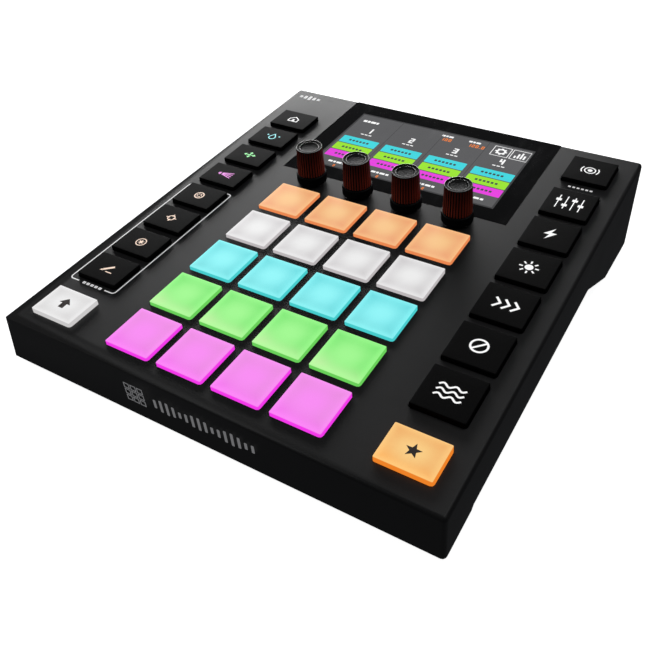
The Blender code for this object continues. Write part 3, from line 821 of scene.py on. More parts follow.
def cap_form(width, depth, proud, corner, edge):
    """A pad or key cap on its hidden flange, with a rounded edge and a faintly crowned top."""
    form = Form()
    spread = 2 * FLANGE_OUT
    flange = rounded(width + spread, depth + spread, corner + FLANGE_OUT)
    wall = rounded(width, depth, corner)
    rings = [raised(flange, FLANGE_BOTTOM), raised(flange, FLANGE_TOP), raised(wall, FLANGE_TOP)]
    for step in range(5):
        angle = math.radians(90 * step / 4)
        inset = edge * (1 - math.cos(angle))
        height = proud - 0.06 - edge * (1 - math.sin(angle))
        ring = rounded(width - 2 * inset, depth - 2 * inset, max(corner - inset, 0.2))
        rings.append(raised(ring, height))
    for share in (0.92, 0.78, 0.55, 0.25):
        lift = 0.06 * (1 - share**3)
        inset_corner = max(corner * share, 0.2)
        ring = rounded(width * share, depth * share, inset_corner)
        rings.append(raised(ring, proud - 0.06 + lift))
    form.skin(rings)
    return form


def build_case(sizes, colours):
    satin = moulded("case_satin", colours.case, 0.44)
    textured = eroded("base_textured", colours.base, 0.62)
    rubber = soft_rubber("foot_rubber", (0.012, 0.012, 0.012))
    smooth_copy("case_top", "top_shell", satin, "case")
    smooth_copy("case_base", "bottom_shell", textured, "case")
    for node in ("foot_front", "foot_rear"):
        finish_node(node, rubber)
    board = circuit_board("board_mask", (0.015, 0.075, 0.035), (0.55, 0.36, 0.14))
    for node in ("key_board", "main_board"):
        finish_node(node, board)
    finish_node("silicone_mat", soft_rubber("mat_silicone", (0.45, 0.45, 0.43), 0.60))
    finish_node("display_module", moulded("module_frame", (0.10, 0.10, 0.10), 0.40))
    finish_node("encoder_block", moulded("encoder_housing", (0.09, 0.09, 0.095), 0.50))
    build_base_screws()


def build_base_screws():
    """Cross-head screws, sunk in the holes of the base."""
    steel = turned_metal("screw_steel", (0.10, 0.10, 0.105), 0.42)
    low = node_form("bottom_shell")
    inverse = PANEL.inverted()
    points = [inverse @ (point * MM) / MM for point in low.points]
    deepest = min(p.z for p in points if 10 < p.y < 18)
    middle = min(p.z for p in points if 120 < p.y < 140)
    for number, (x, y, z) in enumerate(
        ((-60, 14, deepest), (60, 14, deepest), (-60, 134, middle), (60, 134, middle))
    ):
        origin = PANEL @ (Vector((x, y, z + 0.25)) * MM)
        down = axes(RIGHTWARD, -REARWARD, -OUTWARD, origin)
        head = screw_mesh(f"base_screw_{number + 1}", 1.62, 0.55)
        settle(f"base_screw_{number + 1}", head, [steel], "case", down)


def screw_mesh(name, radius, depth):
    """A pan head with a cross recess. Its top is at Z = 0."""
    head = Form()
    dome = [(radius, -depth), (radius, -0.22), (radius * 0.86, -0.06), (radius * 0.5, 0.0)]
    head.spin([(0.0, -depth)] + dome + [(0.0, 0.0)], 28)
    slot, reach = radius * 0.13, radius * 0.58
    cutters = []
    for turn in (0.0, math.pi / 2):
        blade = Form()
        blade.move = Matrix.Rotation(turn, 4, "Z")
        blade.prism([(-reach, -slot), (reach, -slot), (reach, slot), (-reach, slot)], -0.36, 0.2)
        cutters.append(blade)
    return cut(mesh_of(name, head), cutters)


def build_pads(sizes, colours):
    corner, edge = sizes.cap_corner / MM, sizes.cap_edge / MM
    size = (PAD_SIZE, PAD_SIZE)
    finishes = {}
    for tone, (heart, rim, front, side, strength) in PAD_LIGHT.items():
        name = f"pad_lit_{tone}"
        finishes[tone] = lit_cap(name, size, heart, rim, front, side, strength, PAD_PROUD)
    for node, tone, x, y in pad_places():
        form = cap_form(PAD_SIZE, PAD_SIZE, PAD_PROUD, corner, edge)
        piece = f"lit_{node}"
        make_piece(piece, form, [finishes[tone]], node, on_panel(x, y), (node,))
        bpy.data.objects[piece].visible_diffuse = False
        bpy.data.objects[piece].visible_glossy = False


def build_keys(sizes, colours):
    corner, edge = sizes.cap_corner / MM, sizes.cap_edge / MM
    skin = {"grain": 0.18, "depth": 0.006, "dust": 0.20, "Specular_IOR_Level": 0.04}
    dark = moulded("key_painted", colours.key, 0.58, **skin)
    for node, x, y, depth in key_places():
        finish, slot = dark, "key_black"
        if node in KEY_LIGHT:
            heart, rim, front, side, strength = KEY_LIGHT[node]
            size, slot = (KEY_WIDTH, depth), "key_white" if node == "key_left_9" else "key_orange"
            finish = lit_cap(f"{slot}_lit", size, heart, rim, front, side, strength, KEY_PROUD)
        form = cap_form(KEY_WIDTH, depth, KEY_PROUD, corner, edge)
        make_piece(f"cap_{node}", form, [finish], node, on_panel(x, y), (node,))


def draw_house(ink):
    ink.line([(-2.4, -1.9), (-2.4, 0.3), (0, 2.2), (2.4, 0.3), (2.4, -1.9)], 0.5, closed=True)
    ink.box(-0.6, -1.9, 0.6, 0.0)


def draw_drop(ink):
    points = [(0.0, 2.3)]
    for step in range(15):
        angle = math.radians(150 + 240 * step / 14)
        points.append((1.55 * math.cos(angle), 1.55 * math.sin(angle) - 0.6))
    ink.line(points, 0.5, closed=True)
    ink.disc(3.1, 0.9, 0.45)
    ink.disc(-3.1, 0.9, 0.45)


def draw_move(ink):
    ink.line([(-1.9, 0), (1.9, 0)], 0.5)
    ink.line([(0, -1.2), (0, 1.2)], 0.5)
    for turn, reach in ((0, 3.1), (90, 2.4), (180, 3.1), (270, 2.4)):
        c, s = math.cos(math.radians(turn)), math.sin(math.radians(turn))
        tip = [(reach, 0.0), (reach - 1.2, 0.95), (reach - 1.2, -0.95)]
        ink.patch([(x * c - y * s, x * s + y * c) for x, y in tip])


def draw_beam(ink):
    ink.patch([(-3.6, -0.55), (-2.4, -0.9), (-2.4, 0.9), (-3.6, 0.55)])
    for end in (-1.9, -0.65, 0.65, 1.9):
        ink.line([(-1.7, end * 0.28), (3.4, end)], 0.42)


def draw_wheel(ink):
    ink.ring(0, 0, 2.0, 0.5)
    for turn in range(6):
        angle = math.tau * turn / 6
        ink.disc(1.0 * math.cos(angle), 1.0 * math.sin(angle), 0.34, 12)


def draw_cross_hair(ink):
    ink.ring(0, 0, 1.5, 0.45)
    for x, y in ((1, 0), (-1, 0), (0, 1), (0, -1)):
        ink.line([(x * 0.9, y * 0.9), (x * 2.5, y * 2.3)], 0.45)


def draw_pattern(ink):
    ink.ring(0, 0, 2.1, 0.42)
    ink.star(0, 0, 1.55, 0.62, 6)


def draw_pencil(ink):
    ink.line([(-1.5, -1.4), (1.9, 1.5)], 1.0)
    ink.patch([(-2.0, -1.1), (-1.2, -1.95), (-2.6, -2.1)])
    ink.line([(0.2, -2.0), (3.2, -2.0)], 0.42)


def draw_up_arrow(ink):
    ink.patch([(0, 2.4), (-2.3, 0.1), (-1.0, 0.1), (-1.0, -2.0), (1.0, -2.0), (1.0, 0.1), (2.3, 0.1)])


def draw_tap(ink):
    ink.disc(0, 0, 0.8)
    ink.ring(0, 0, 1.75, 0.42)
    for side in (-1, 1):
        arc = [(side * 2.9 * math.cos(a), 2.9 * math.sin(a)) for a in (-0.6, -0.3, 0, 0.3, 0.6)]
        ink.line(arc, 0.42)


def draw_faders(ink):
    for x, y in ((-4.2, 1.2), (-1.4, -1.8), (1.4, 2.2), (4.2, -0.4)):
        ink.line([(x, -4.2), (x, 4.2)], 0.4)
        ink.box(x - 1.0, y - 0.75, x + 1.0, y + 0.75, 0.3)


def draw_bolt(ink):
    ink.patch([(0.9, 3.0), (-1.9, -0.4), (-0.2, -0.4), (-0.9, -3.0), (1.9, 0.6), (0.2, 0.6)])


def draw_sun(ink):
    ink.disc(0, 0, 1.25)
    for turn in range(8):
        c, s = math.cos(math.tau * turn / 8), math.sin(math.tau * turn / 8)
        ink.line([(1.8 * c, 1.8 * s), (2.9 * c, 2.9 * s)], 0.5)


def draw_chevrons(ink):
    for x in (-3.2, -0.6, 2.0):
        ink.line([(x, 2.0), (x + 1.7, 0.0), (x, -2.0)], 0.7)


def draw_crossed(ink):
    ink.ring(0, 0, 2.3, 0.6)
    ink.line([(-1.6, -1.6), (1.6, 1.6)], 0.6)


def draw_waves(ink):
    for y in (-1.8, 0.0, 1.8):
        ink.line([(x * 0.4, y + 0.5 * math.sin(x * 0.75)) for x in range(-9, 10)], 0.55)


def draw_star(ink):
    ink.star(0, 0, 2.9, 1.2, 5)


LEGENDS = {
    "key_left_1": (draw_house, "white"),
    "key_left_2": (draw_drop, "cyan"),
    "key_left_3": (draw_move, "green"),
    "key_left_4": (draw_beam, "magenta"),
    "key_left_5": (draw_wheel, "warm"),
    "key_left_6": (draw_cross_hair, "warm"),
    "key_left_7": (draw_pattern, "warm"),
    "key_left_8": (draw_pencil, "warm"),
    "key_left_9": (draw_up_arrow, "dark"),
    "key_right_1": (draw_tap, "white"),
    "key_right_2": (draw_faders, "white"),
    "key_right_3": (draw_bolt, "white"),
    "key_right_4": (draw_sun, "white"),
    "key_right_5": (draw_chevrons, "white"),
    "key_right_6": (draw_crossed, "white"),
    "key_right_7": (draw_waves, "white"),
    "key_right_8": (draw_star, "dark"),
}


SIGN_SIZES = {"key_right_2": 1.25, "key_left_9": 1.3, "key_right_8": 1.1}


def build_legends(sizes, colours):
    """A plain sign on each key, on the key's own body."""
    finishes = {}
    for tone, (light, strength) in LEGEND_LIGHT.items():
        finishes[tone] = lit_ink(f"legend_{tone}", light, strength)
    finishes["dark"] = printed_ink("legend_dark", (0.05, 0.035, 0.03), (0.12, 0.09, 0.07))
    lift = sizes.ink / MM
    for node, x, y, _ in key_places():
        draw, tone = LEGENDS[node]
        ink = Ink(KEY_PROUD - 0.1, KEY_PROUD + lift)
        size = SIGN_SIZES.get(node, 1.15 if "left" in node else 1.45)
        ink.move = Matrix.Diagonal((size, size, 1.0, 1.0))
        draw(ink)
        make_piece(f"legend_{node}", ink, [finishes[tone]], node, on_panel(x, y))


def build_knobs(sizes, colours):
    ribbed = ribbed_grip("knob_ribs", colours.rib)
    skin = {"grain": 0.2, "depth": 0.006, "Specular_IOR_Level": 0.10}
    satin = moulded("knob_satin", colours.skirt, 0.42, **skin)
    bright = turned_metal("knob_rim", (0.60, 0.60, 0.60), 0.45, (1.0, 1.0, 1.0), 0.3)
    disc = moulded("knob_disc", (0.022, 0.022, 0.023), 0.45, **skin)
    # Painted shade: the faces in the grooves between the ribs get an almost black finish, standing for
    # the shade that falls in them.
    groove = moulded("knob_groove_painted_shade", (0.006, 0.004, 0.004), 0.7)
    spindle = turned_metal("spindle_steel", (0.56, 0.56, 0.55), 0.28)
    per_rib = 8
    depth = sizes.rib_depth / MM

    def ripple(step, height):
        if not 5.55 < height < 18.8:
            return 0.0
        share = (step % per_rib) / per_rib
        cut_in = max(0.0, math.cos(math.tau * (share - 0.5))) ** 1.5
        return -depth * cut_in

    # Radius, height and finish of the surface that starts there
    outline = [
        (0.0, 15.0, 1), (3.05, 15.0, 1), (3.05, 6.0, 1), (4.9, 6.0, 1), (4.9, 0.8, 1),
        (7.05, 0.8, 1), (7.4, 1.15, 1), (7.4, 4.55, 1), (7.28, 4.95, 1), (7.0, 5.2, 1),
        (6.72, 5.25, 1), (6.72, 5.5, 1), (6.74, 5.6, 0), (6.66, 8.0, 0), (6.56, 11.0, 0),
        (6.46, 14.0, 0), (6.36, 17.0, 0), (6.31, 18.45, 0), (6.29, 18.75, 1), (6.28, 18.95, 1),
        (6.25, 19.16, 2), (6.16, 19.30, 2), (6.02, 19.32, 1), (5.86, 19.20, 1), (5.70, 18.98, 1),
        (4.66, 18.92, 2), (4.57, 19.02, 2), (4.46, 19.03, 3), (4.38, 18.92, 3), (4.22, 18.65, 3),
        (3.4, 18.55, 3), (2.0, 18.47, 3), (0.0, 18.43, 3),
    ]  # fmt: skip
    profile = [(radius, height) for radius, height, _ in outline]
    marks = [mark for _, _, mark in outline]
    steps = sizes.ribs * per_rib
    # The faces picked here take the painted groove shade.
    in_groove = (0, 4, lambda step: 3 <= step % per_rib <= 4 or step % per_rib == 2)
    form = Form()
    form.spin(profile, steps, ripple, marks, in_groove)
    for number in range(1, 5):
        node = f"knob_{number}"
        place = JOINTS[f"spindle_{number}_turn"]["pos_m"]
        matrix = Matrix.Translation(Vector(place)) @ PANEL.to_3x3().to_4x4()
        finishes = [ribbed, satin, bright, disc, groove]
        make_piece(f"ribbed_{node}", form, finishes, node, matrix, (node,), 40.0)
        finish_node(f"spindle_{number}", spindle)


def build_display(sizes, colours):
    """The glass with its dark border, and the picture that shines through it."""
    glass = gloss_glass("display_glass", (0.0045, 0.0045, 0.0050))
    form = Form()
    outer = rounded(*GLASS, 0.6, 0.0, GLASS_CENTRE)
    inner = rounded(*WINDOW, 0.3, 0.0, WINDOW_CENTRE)
    edge = sizes.glass_edge / MM
    bevelled = rounded(GLASS[0] - 2 * edge, GLASS[1] - 2 * edge, 0.4, 0.0, GLASS_CENTRE)
    low = GLASS_TOP - GLASS_THICK
    rings = [raised(outer, low), raised(outer, GLASS_TOP - edge), raised(bevelled, GLASS_TOP)]
    form.skin(rings + [raised(inner, GLASS_TOP), raised(inner, low)], looped=True)
    make_piece("display_glass", form, [glass], "case", PANEL, ("screen_glass",))

    ground = Form()
    ground.prism(inner, GLASS_TOP - 0.9, GLASS_TOP)
    shade = screen_light("screen_ground", tuple(colours.screen), 1.0)
    make_piece("display_picture", ground, [shade], "case")

    left, top = -WINDOW[0] / 2, WINDOW_CENTRE + WINDOW[1] / 2
    below, above = GLASS_TOP - 0.05, GLASS_TOP + 0.012
    inks = {}

    def ink(tone):
        return inks.setdefault(tone, Ink(below, above))

    def block(tone, x0, y0, x1, y1, corner=0.0):
        ink(tone).box(left + x0, top - y1, left + x1, top - y0, corner)

    block("border", 0.0, 0.0, WINDOW[0], 1.0)
    block("border", 0.0, 1.0, 1.0, WINDOW[1] - 1.0)
    block("border", WINDOW[0] - 1.0, 1.0, WINDOW[0], WINDOW[1] - 1.0)
    block("border", 0.0, WINDOW[1] - 1.0, WINDOW[0], WINDOW[1])
    rows = (("cyan", 25.3, 32.2), ("lime", 32.9, 39.7), ("magenta", 40.4, 47.05))
    upper = Ink(above - 0.03, above + 0.01)
    for column, start in enumerate((2.5, 27.4, 52.4, 77.5)):
        middle = start + 10.5
        for tone, y0, y1 in rows:
            block(tone, start, y0, start + 21.05, y1, 0.45)
            y = top - (y0 + y1) / 2
            for number in range(6):
                x = left + start + 4.6 + number * 2.05
                upper.box(x, y - 0.8, x + 1.35, y + 0.8, 0.3)
        white, orange = ink("white"), ink("orange")
        white.digits(str(column + 1), left + middle, top - 16.25, 4.9, 0.95)
        for number in range(3):
            x = left + middle - 3.3 + number * 2.3
            white.box(x, top - 21.2, x + 1.7, top - 20.4)
        for number, wide in enumerate((2.4, 1.4, 2.8, 1.6)):
            x = left + middle - 5.0 + (0, 2.9, 4.8, 8.1)[number]
            white.box(x, top - 52.2, x + wide, top - 50.7, 0.2)
        orange.digits("0", left + middle, top - 54.8, 2.1, 0.42)
        if column:
            block("border", start - 2.0, 1.2, start - 1.75, WINDOW[1] - 1.2)
    for number, wide in enumerate((2.2, 1.5, 3.0, 1.4)):
        x = left + 4.0 + (0, 2.6, 4.5, 7.9)[number]
        white.box(x, top - 8.3, x + wide, top - 6.3, 0.25)
    for start in (50.0, 65.3):
        for number, wide in enumerate((1.9, 1.3, 2.4)):
            x = left + start + (0, 2.3, 4.0)[number]
            white.box(x, top - 5.0, x + wide, top - 3.4, 0.2)
    orange.digits("100", left + 53.8, top - 7.7, 2.8, 0.5)
    orange.digits("120.0", left + 70.6, top - 7.7, 2.8, 0.5)
    for x0 in (79.5, 89.7):
        corners = [(x0, 2.7), (x0, 11.7), (x0 + 9.0, 11.7), (x0 + 9.0, 2.7)]
        white.line([(left + x, top - y) for x, y in corners], 0.38, closed=True)
    gear_x, gear_y = left + 84.0, top - 7.2
    white.ring(gear_x, gear_y, 2.0, 1.0, 24)
    for turn in range(8):
        c, s = math.cos(math.tau * turn / 8), math.sin(math.tau * turn / 8)
        start = (gear_x + 2.3 * c, gear_y + 2.3 * s)
        white.line([start, (gear_x + 3.1 * c, gear_y + 3.1 * s)], 1.1)
    for step, height in enumerate((2.2, 4.4, 5.8, 3.6)):
        x = left + 91.4 + step * 1.6
        white.box(x, top - 10.2, x + 0.95, top - 10.2 + height)

    light = {
        "border": ((0.056, 0.056, 0.058), 1.0),
        "cyan": ((0.055, 0.66, 0.72), 1.10),
        "lime": ((0.32, 0.76, 0.035), 1.10),
        "magenta": ((0.78, 0.055, 0.72), 1.10),
        "white": ((1.0, 1.0, 1.0), 1.05),
        "orange": ((0.88, 0.22, 0.04), 1.10),
    }
    for tone, (shine, strength) in light.items():
        glow = screen_light(f"screen_{tone}", shine, strength)
        make_piece(f"picture_{tone}", inks[tone], [glow], "case")
    dim = screen_light("screen_words", (0.060, 0.075, 0.075), 1.0)
    make_piece("picture_words", upper, [dim], "case")


def build_print(sizes, colours):
    """White and grey ink: the frame round four keys, small marks, and marks on the front edge."""
    # The white print glows a little: painted light that keeps it bright under the dim lamps.
    white = printed_ink("ink_white_painted_glow", colours.print, (0.5, 0.5, 0.5), 0.55)
    lift, width = sizes.ink / MM, sizes.frame_line / MM
    ink = Ink(-0.1, lift)
    x0, x1, y0, y1, corner = -93.2, -67.7, 33.15, 115.9, 1.6
    edge = []
    for cx, cy, start in ((x0, y0, 180), (x1, y0, 270), (x1, y1, 0), (x0, y1, 90)):
        ox = cx + (corner if cx < -80 else -corner)
        oy = cy + (corner if cy < 80 else -corner)
        for step in range(6):
            angle = math.radians(start + 90 * step / 5)
            edge.append((ox + corner * math.cos(angle), oy + corner * math.sin(angle)))
    open_line = [(-73.0, y0)] + edge[6:] + edge[:6] + [(-88.0, y0)]
    ink.line(open_line, width)
    for number in range(5):
        ink.box(-85.6 + number * 2.3, y0 - 0.7, -84.0 + number * 2.3, y0 + 0.7, 0.3)
    for number in range(6):
        ink.box(74.2 + number * 2.05, 191.7, 75.5 + number * 2.05, 192.9, 0.3)
    for number, height in enumerate((2.2, 3.2, 4.4, 3.2, 2.2)):
        x = -94.6 + number * 2.9
        ink.box(x, 219.4 - height / 2, x + 1.7, 219.4 + height / 2, 0.4)
    make_piece("panel_print", ink, [white], "case")

    # The grey marks on the front edge glow too: painted light, on print that is no lamp.
    grey = printed_ink("ink_grey_painted_glow", colours.faint, (0.08, 0.08, 0.08), 0.8)
    front = axes(RIGHTWARD, OUTWARD, -REARWARD, PANEL_ORIGIN)
    marks = Ink(-0.1, lift)
    for column in range(3):
        for row in range(3):
            x, y = -33.0 + column * 3.3, -14.0 + row * 3.3
            corners = [(x, y), (x + 2.4, y), (x + 2.4, y + 2.4), (x, y + 2.4)]
            marks.line(corners, 0.34, closed=True)
    for number in range(16):
        height = 2.4 + 4.2 * abs(math.sin(number * 0.62 + 0.5))
        x = -19.0 + number * 3.0
        marks.box(x, -9.6 - height / 2, x + 1.2, -9.6 + height / 2, 0.3)
    make_piece("front_marks", marks, [grey], "case", front)


def build_rear(sizes, colours):
    nylon = moulded("socket_nylon", (0.014, 0.014, 0.015), 0.46, grain=0.35, depth=0.02)
    metal = turned_metal("socket_plate", (0.60, 0.60, 0.60), 0.34, (1.0, 6.0, 1.0))
    gold = turned_metal("contact_gold", (0.85, 0.60, 0.24), 0.26, (1.0, 1.0, 6.0))
    steel = turned_metal("socket_steel", (0.46, 0.46, 0.46), 0.36)
    for letter in "ab":
        node = f"dmx_socket_{letter}"
        low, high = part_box(node)
        matrix = on_rear((low.x + high.x) / 2, (low.z + high.z) / 2)
        build_dmx(letter, node, matrix, nylon, gold, steel, (high.y - REAR_WALL_Y) / MM)
    build_network(nylon, metal, gold)
    build_usb(nylon, metal, gold)
    build_jack(nylon, steel)
    build_rear_print(colours)


def build_dmx(letter, node, matrix, nylon, gold, steel, face):
    """A round three-pin socket in a square flange."""
    steps = 96
    body = Form()
    rings = [
        raised(circle(11.7, steps), -20.8),
        raised(circle(11.7, steps), 0.3),
        raised(squared(26.0, 31.0, 2.2, steps), 0.3),
        raised(squared(26.0, 31.0, 2.2, steps), face - 0.35),
        raised(squared(25.3, 30.3, 1.9, steps), face - 0.1),
        raised(squared(24.6, 29.6, 1.6, steps), face - 0.1),
    ]
    collar = ((11.3, -0.1), (11.1, 0.0), (10.0, 0.0), (9.7, -0.3), (9.7, -14.2), (7.4, -14.2))
    core = ((7.4, -2.0), (7.1, -1.7))
    for radius, height in collar + core:
        rings.append(raised(circle(radius, steps), face + height))
    body.skin(rings)
    cutters = []
    pins = ((-3.7, 0.0), (3.7, 0.0), (0.0, -3.7))
    for x, y in pins:
        hole = Form()
        hole.prism(circle(1.4, 20, x, y), -11.0, face)
        cutters.append(hole)
    screws = ((-9.6, 11.9), (9.6, -11.9))
    for x, y in screws:
        hole = Form()
        hole.prism(circle(1.95, 24, x, y), face - 0.75, face + 0.5)
        cutters.append(hole)
    slot = Form()
    slot.prism(rounded(5.4, 2.6, 0.5, 0.0, 12.6), face - 0.9, face + 0.5)
    cutters.append(slot)
    mesh = cut(mesh_of(node, body), cutters)
    settle(f"round_{node}", mesh, [nylon], "case", matrix, (node,))
    tubes = Form()
    for x, y in pins:
        tubes.move = Matrix.Translation((x, y, 0.0))
        tubes.spin([(1.3, -10.9), (1.3, -0.55), (1.15, -0.4), (0.95, -0.55), (0.95, -10.9)], 20)
    make_piece(f"contacts_{node}", tubes, [gold], "case", matrix)
    latch = Form()
    for number in range(4):
        y = 11.75 + number * 0.56
        top = face - 0.15
        latch.prism(rounded(4.6, 0.42, 0.12, 0.0, y), face - 0.85, top)
    latch.prism(rounded(4.9, 2.2, 0.4, 0.0, 12.6), face - 0.88, face - 0.45)
    make_piece(f"latch_{node}", latch, [steel], "case", matrix)
    for number, (x, y) in enumerate(screws):
        spot = matrix @ Matrix.Translation(Vector((x, y, face - 0.12)) * MM)
        head = screw_mesh(f"screw_{node}_{number + 1}", 1.85, 0.6)
        settle(f"screw_{node}_{number + 1}", head, [steel], "case", spot)


def liner(mouth, depth, wall, out):
    """An open box that lines a socket's mouth, with its rim at the height out."""
    form = Form()
    outer = rounded(mouth[0], mouth[1], 0.25)
    inner = rounded(mouth[0] - 2 * wall, mouth[1] - 2 * wall, 0.2)
    rings = [raised(outer, out - depth), raised(outer, out), raised(inner, out)]
    form.skin(rings + [raised(inner, out - depth + wall)])
    return form


def build_network(nylon, metal, gold):
    low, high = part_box("network_socket")
    face = (high.y - REAR_WALL_Y) / MM
    smooth_copy("network_shell", "network_socket", metal, "case")
    matrix = on_rear((low.x + high.x) / 2, (low.z + high.z) / 2)
    matrix = matrix @ Matrix.Translation(Vector((0.0, 0.6, 0.0)) * MM)
    inside = liner((11.7, 8.3), 11.6, 0.35, face - 0.4)
    make_piece("network_lining", inside, [nylon], "case", matrix)
    wires = Form()
    for number in range(8):
        x = (number - 3.5) * 1.02
        section = [(x - 0.16, 0.0), (x + 0.16, 0.0)]
        rings = []
        for y, z in ((3.2, -1.2), (2.4, -1.4), (-0.6, -8.6), (-0.4, -9.6)):
            left, right = section[0][0], section[1][0]
            rings.append([(left, y, z), (right, y, z), (right, y + 0.3, z), (left, y + 0.3, z)])
        wires.skin(rings)
    make_piece("network_contacts", wires, [gold], "case", matrix)
    lips = Form()
    for side in (-1, 1):
        lips.prism(rounded(2.2, 1.6, 0.2, side * 4.5, -3.2), face - 8.0, face - 0.45)
    make_piece("network_keyway", lips, [nylon], "case", matrix)
    for side, tone in ((-1, (0.10, 0.55, 0.12)), (1, (0.75, 0.45, 0.06))):
        lamp = Form()
        lamp.prism(rounded(2.4, 0.9, 0.2, side * 5.6, 4.95), face - 0.4, face + 0.12)
        name = "network_lamp_green" if side < 0 else "network_lamp_amber"
        finish = moulded(name, tone, 0.30, grain=0.3, depth=0.004)
        make_piece(name, lamp, [finish], "case", matrix)


def build_usb(nylon, metal, gold):
    low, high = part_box("usb_socket")
    face = (high.y - REAR_WALL_Y) / MM
    smooth_copy("usb_shell", "usb_socket", metal, "case")
    matrix = on_rear((low.x + high.x) / 2, (low.z + high.z) / 2)
    inside = liner((8.5, 7.8), 7.8, 0.3, face - 0.35)
    make_piece("usb_lining", inside, [nylon], "case", matrix)
    tongue = Form()
    rings = [raised(rounded(5.6, 3.0, 0.3), -7.6), raised(rounded(5.6, 3.0, 0.3), -1.3)]
    tongue.skin(rings + [raised(rounded(5.0, 2.4, 0.3), -1.0)])
    make_piece("usb_tongue", tongue, [nylon], "case", matrix)
    strips = Form()
    for x in (-1.25, 1.25):
        for y in (-1.52, 1.52):
            strips.prism(rounded(1.1, 0.16, 0.05, x, y), -7.0, -1.6)
    make_piece("usb_contacts", strips, [gold], "case", matrix)


def build_jack(nylon, steel):
    low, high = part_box("jack_socket")
    smooth_copy("jack_body", "jack_socket", nylon, "case", 35.0)
    centre_x, centre_z = (low.x + high.x) / 2, (low.z + high.z) / 2
    matrix = on_rear(centre_x, centre_z)
    nut = Form()
    six = circle(7.6, 96)
    flat = [(x * f, y * f) for (x, y), f in zip(six, hexagon_factors(96, 7.6, 6.6))]
    hole = circle(5.62, 96)
    shrunk = [(x * 0.955, y * 0.955) for x, y in flat]
    rings = [raised(flat, 0.55), raised(flat, 1.45), raised(shrunk, 1.75)]
    nut.skin(rings + [raised(hole, 1.75), raised(hole, 0.55)], looped=True)
    make_piece("jack_nut", nut, [steel], "case", matrix)
    washer = Form()
    washer.skin(
        [raised(circle(7.9, 64), 0.05), raised(circle(7.9, 64), 0.5)]
        + [raised(circle(5.62, 64), 0.5), raised(circle(5.62, 64), 0.05)],
        looped=True,
    )
    make_piece("jack_washer", washer, [steel], "case", matrix)
    spring = Form()
    spring.prism(rounded(2.2, 0.5, 0.2, 0.0, 2.9), -12.0, -2.5)
    make_piece("jack_spring", spring, [steel], "case", matrix)


def hexagon_factors(steps, radius, flat):
    """How far in each point of a circle comes to lie on a hexagon with that distance to its flats."""
    factors = []
    for step in range(steps):
        angle = math.tau * step / steps
        within = (angle + math.pi / 6) % (math.pi / 3) - math.pi / 6
        factors.append(min(flat / math.cos(within), radius * 0.985) / radius)
    return factors


def build_rear_print(colours):
    """Plain signs above the sockets."""
    white = printed_ink("ink_rear", colours.print, (0.3, 0.3, 0.3))
    signs = Ink(-0.1, 0.02)
    spots = {}
    for node in ("dmx_socket_a", "dmx_socket_b", "jack_socket", "network_socket", "usb_socket"):
        low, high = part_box(node)
        spots[node] = -(low.x + high.x) / 2 / MM
    height = 46.0 - 3.0
    for number, node in enumerate(("dmx_socket_a", "dmx_socket_b")):
        x, y = spots[node], height - 1.0
        signs.ring(x - 1.6, y, 1.5, 0.3, 24)
        for dx, dy in ((-0.6, 0.1), (0.6, 0.1), (0.0, -0.7)):
            signs.disc(x - 1.6 + dx, y + dy, 0.26, 10)
        signs.digits(str(number + 1), x + 2.2, y, 2.6, 0.4)
    x = spots["jack_socket"]
    y = 31.0
    signs.ring(x - 2.0, y, 1.1, 0.3, 20)
    signs.line([(x - 0.9, y), (x + 1.4, y)], 0.4)
    signs.line([(x + 1.4, y), (x + 3.2, y)], 0.8)
    x = spots["network_socket"]
    for dx, dy in ((0.0, 1.3), (-1.9, -1.2), (1.9, -1.2)):
        signs.box(x + dx - 0.6, y + dy - 0.6, x + dx + 0.6, y + dy + 0.6)
    signs.line([(x - 1.9, y - 0.5), (x - 1.9, y + 0.1), (x + 1.9, y + 0.1), (x + 1.9, y - 0.5)], 0.3)
    signs.line([(x, y + 0.2), (x, y + 0.8)], 0.3)
    x = spots["usb_socket"]
    corners = [(x - 1.5, y - 1.2), (x + 1.5, y - 1.2), (x + 1.5, y + 0.7), (x + 0.9, y + 1.3)]
    signs.line(corners + [(x - 0.9, y + 1.3), (x - 1.5, y + 0.7)], 0.3, closed=True)
    signs.box(x - 0.7, y - 0.35, x + 0.7, y + 0.35)
    make_piece("rear_signs", signs, [white], "case", on_rear(0.0, 0.0))


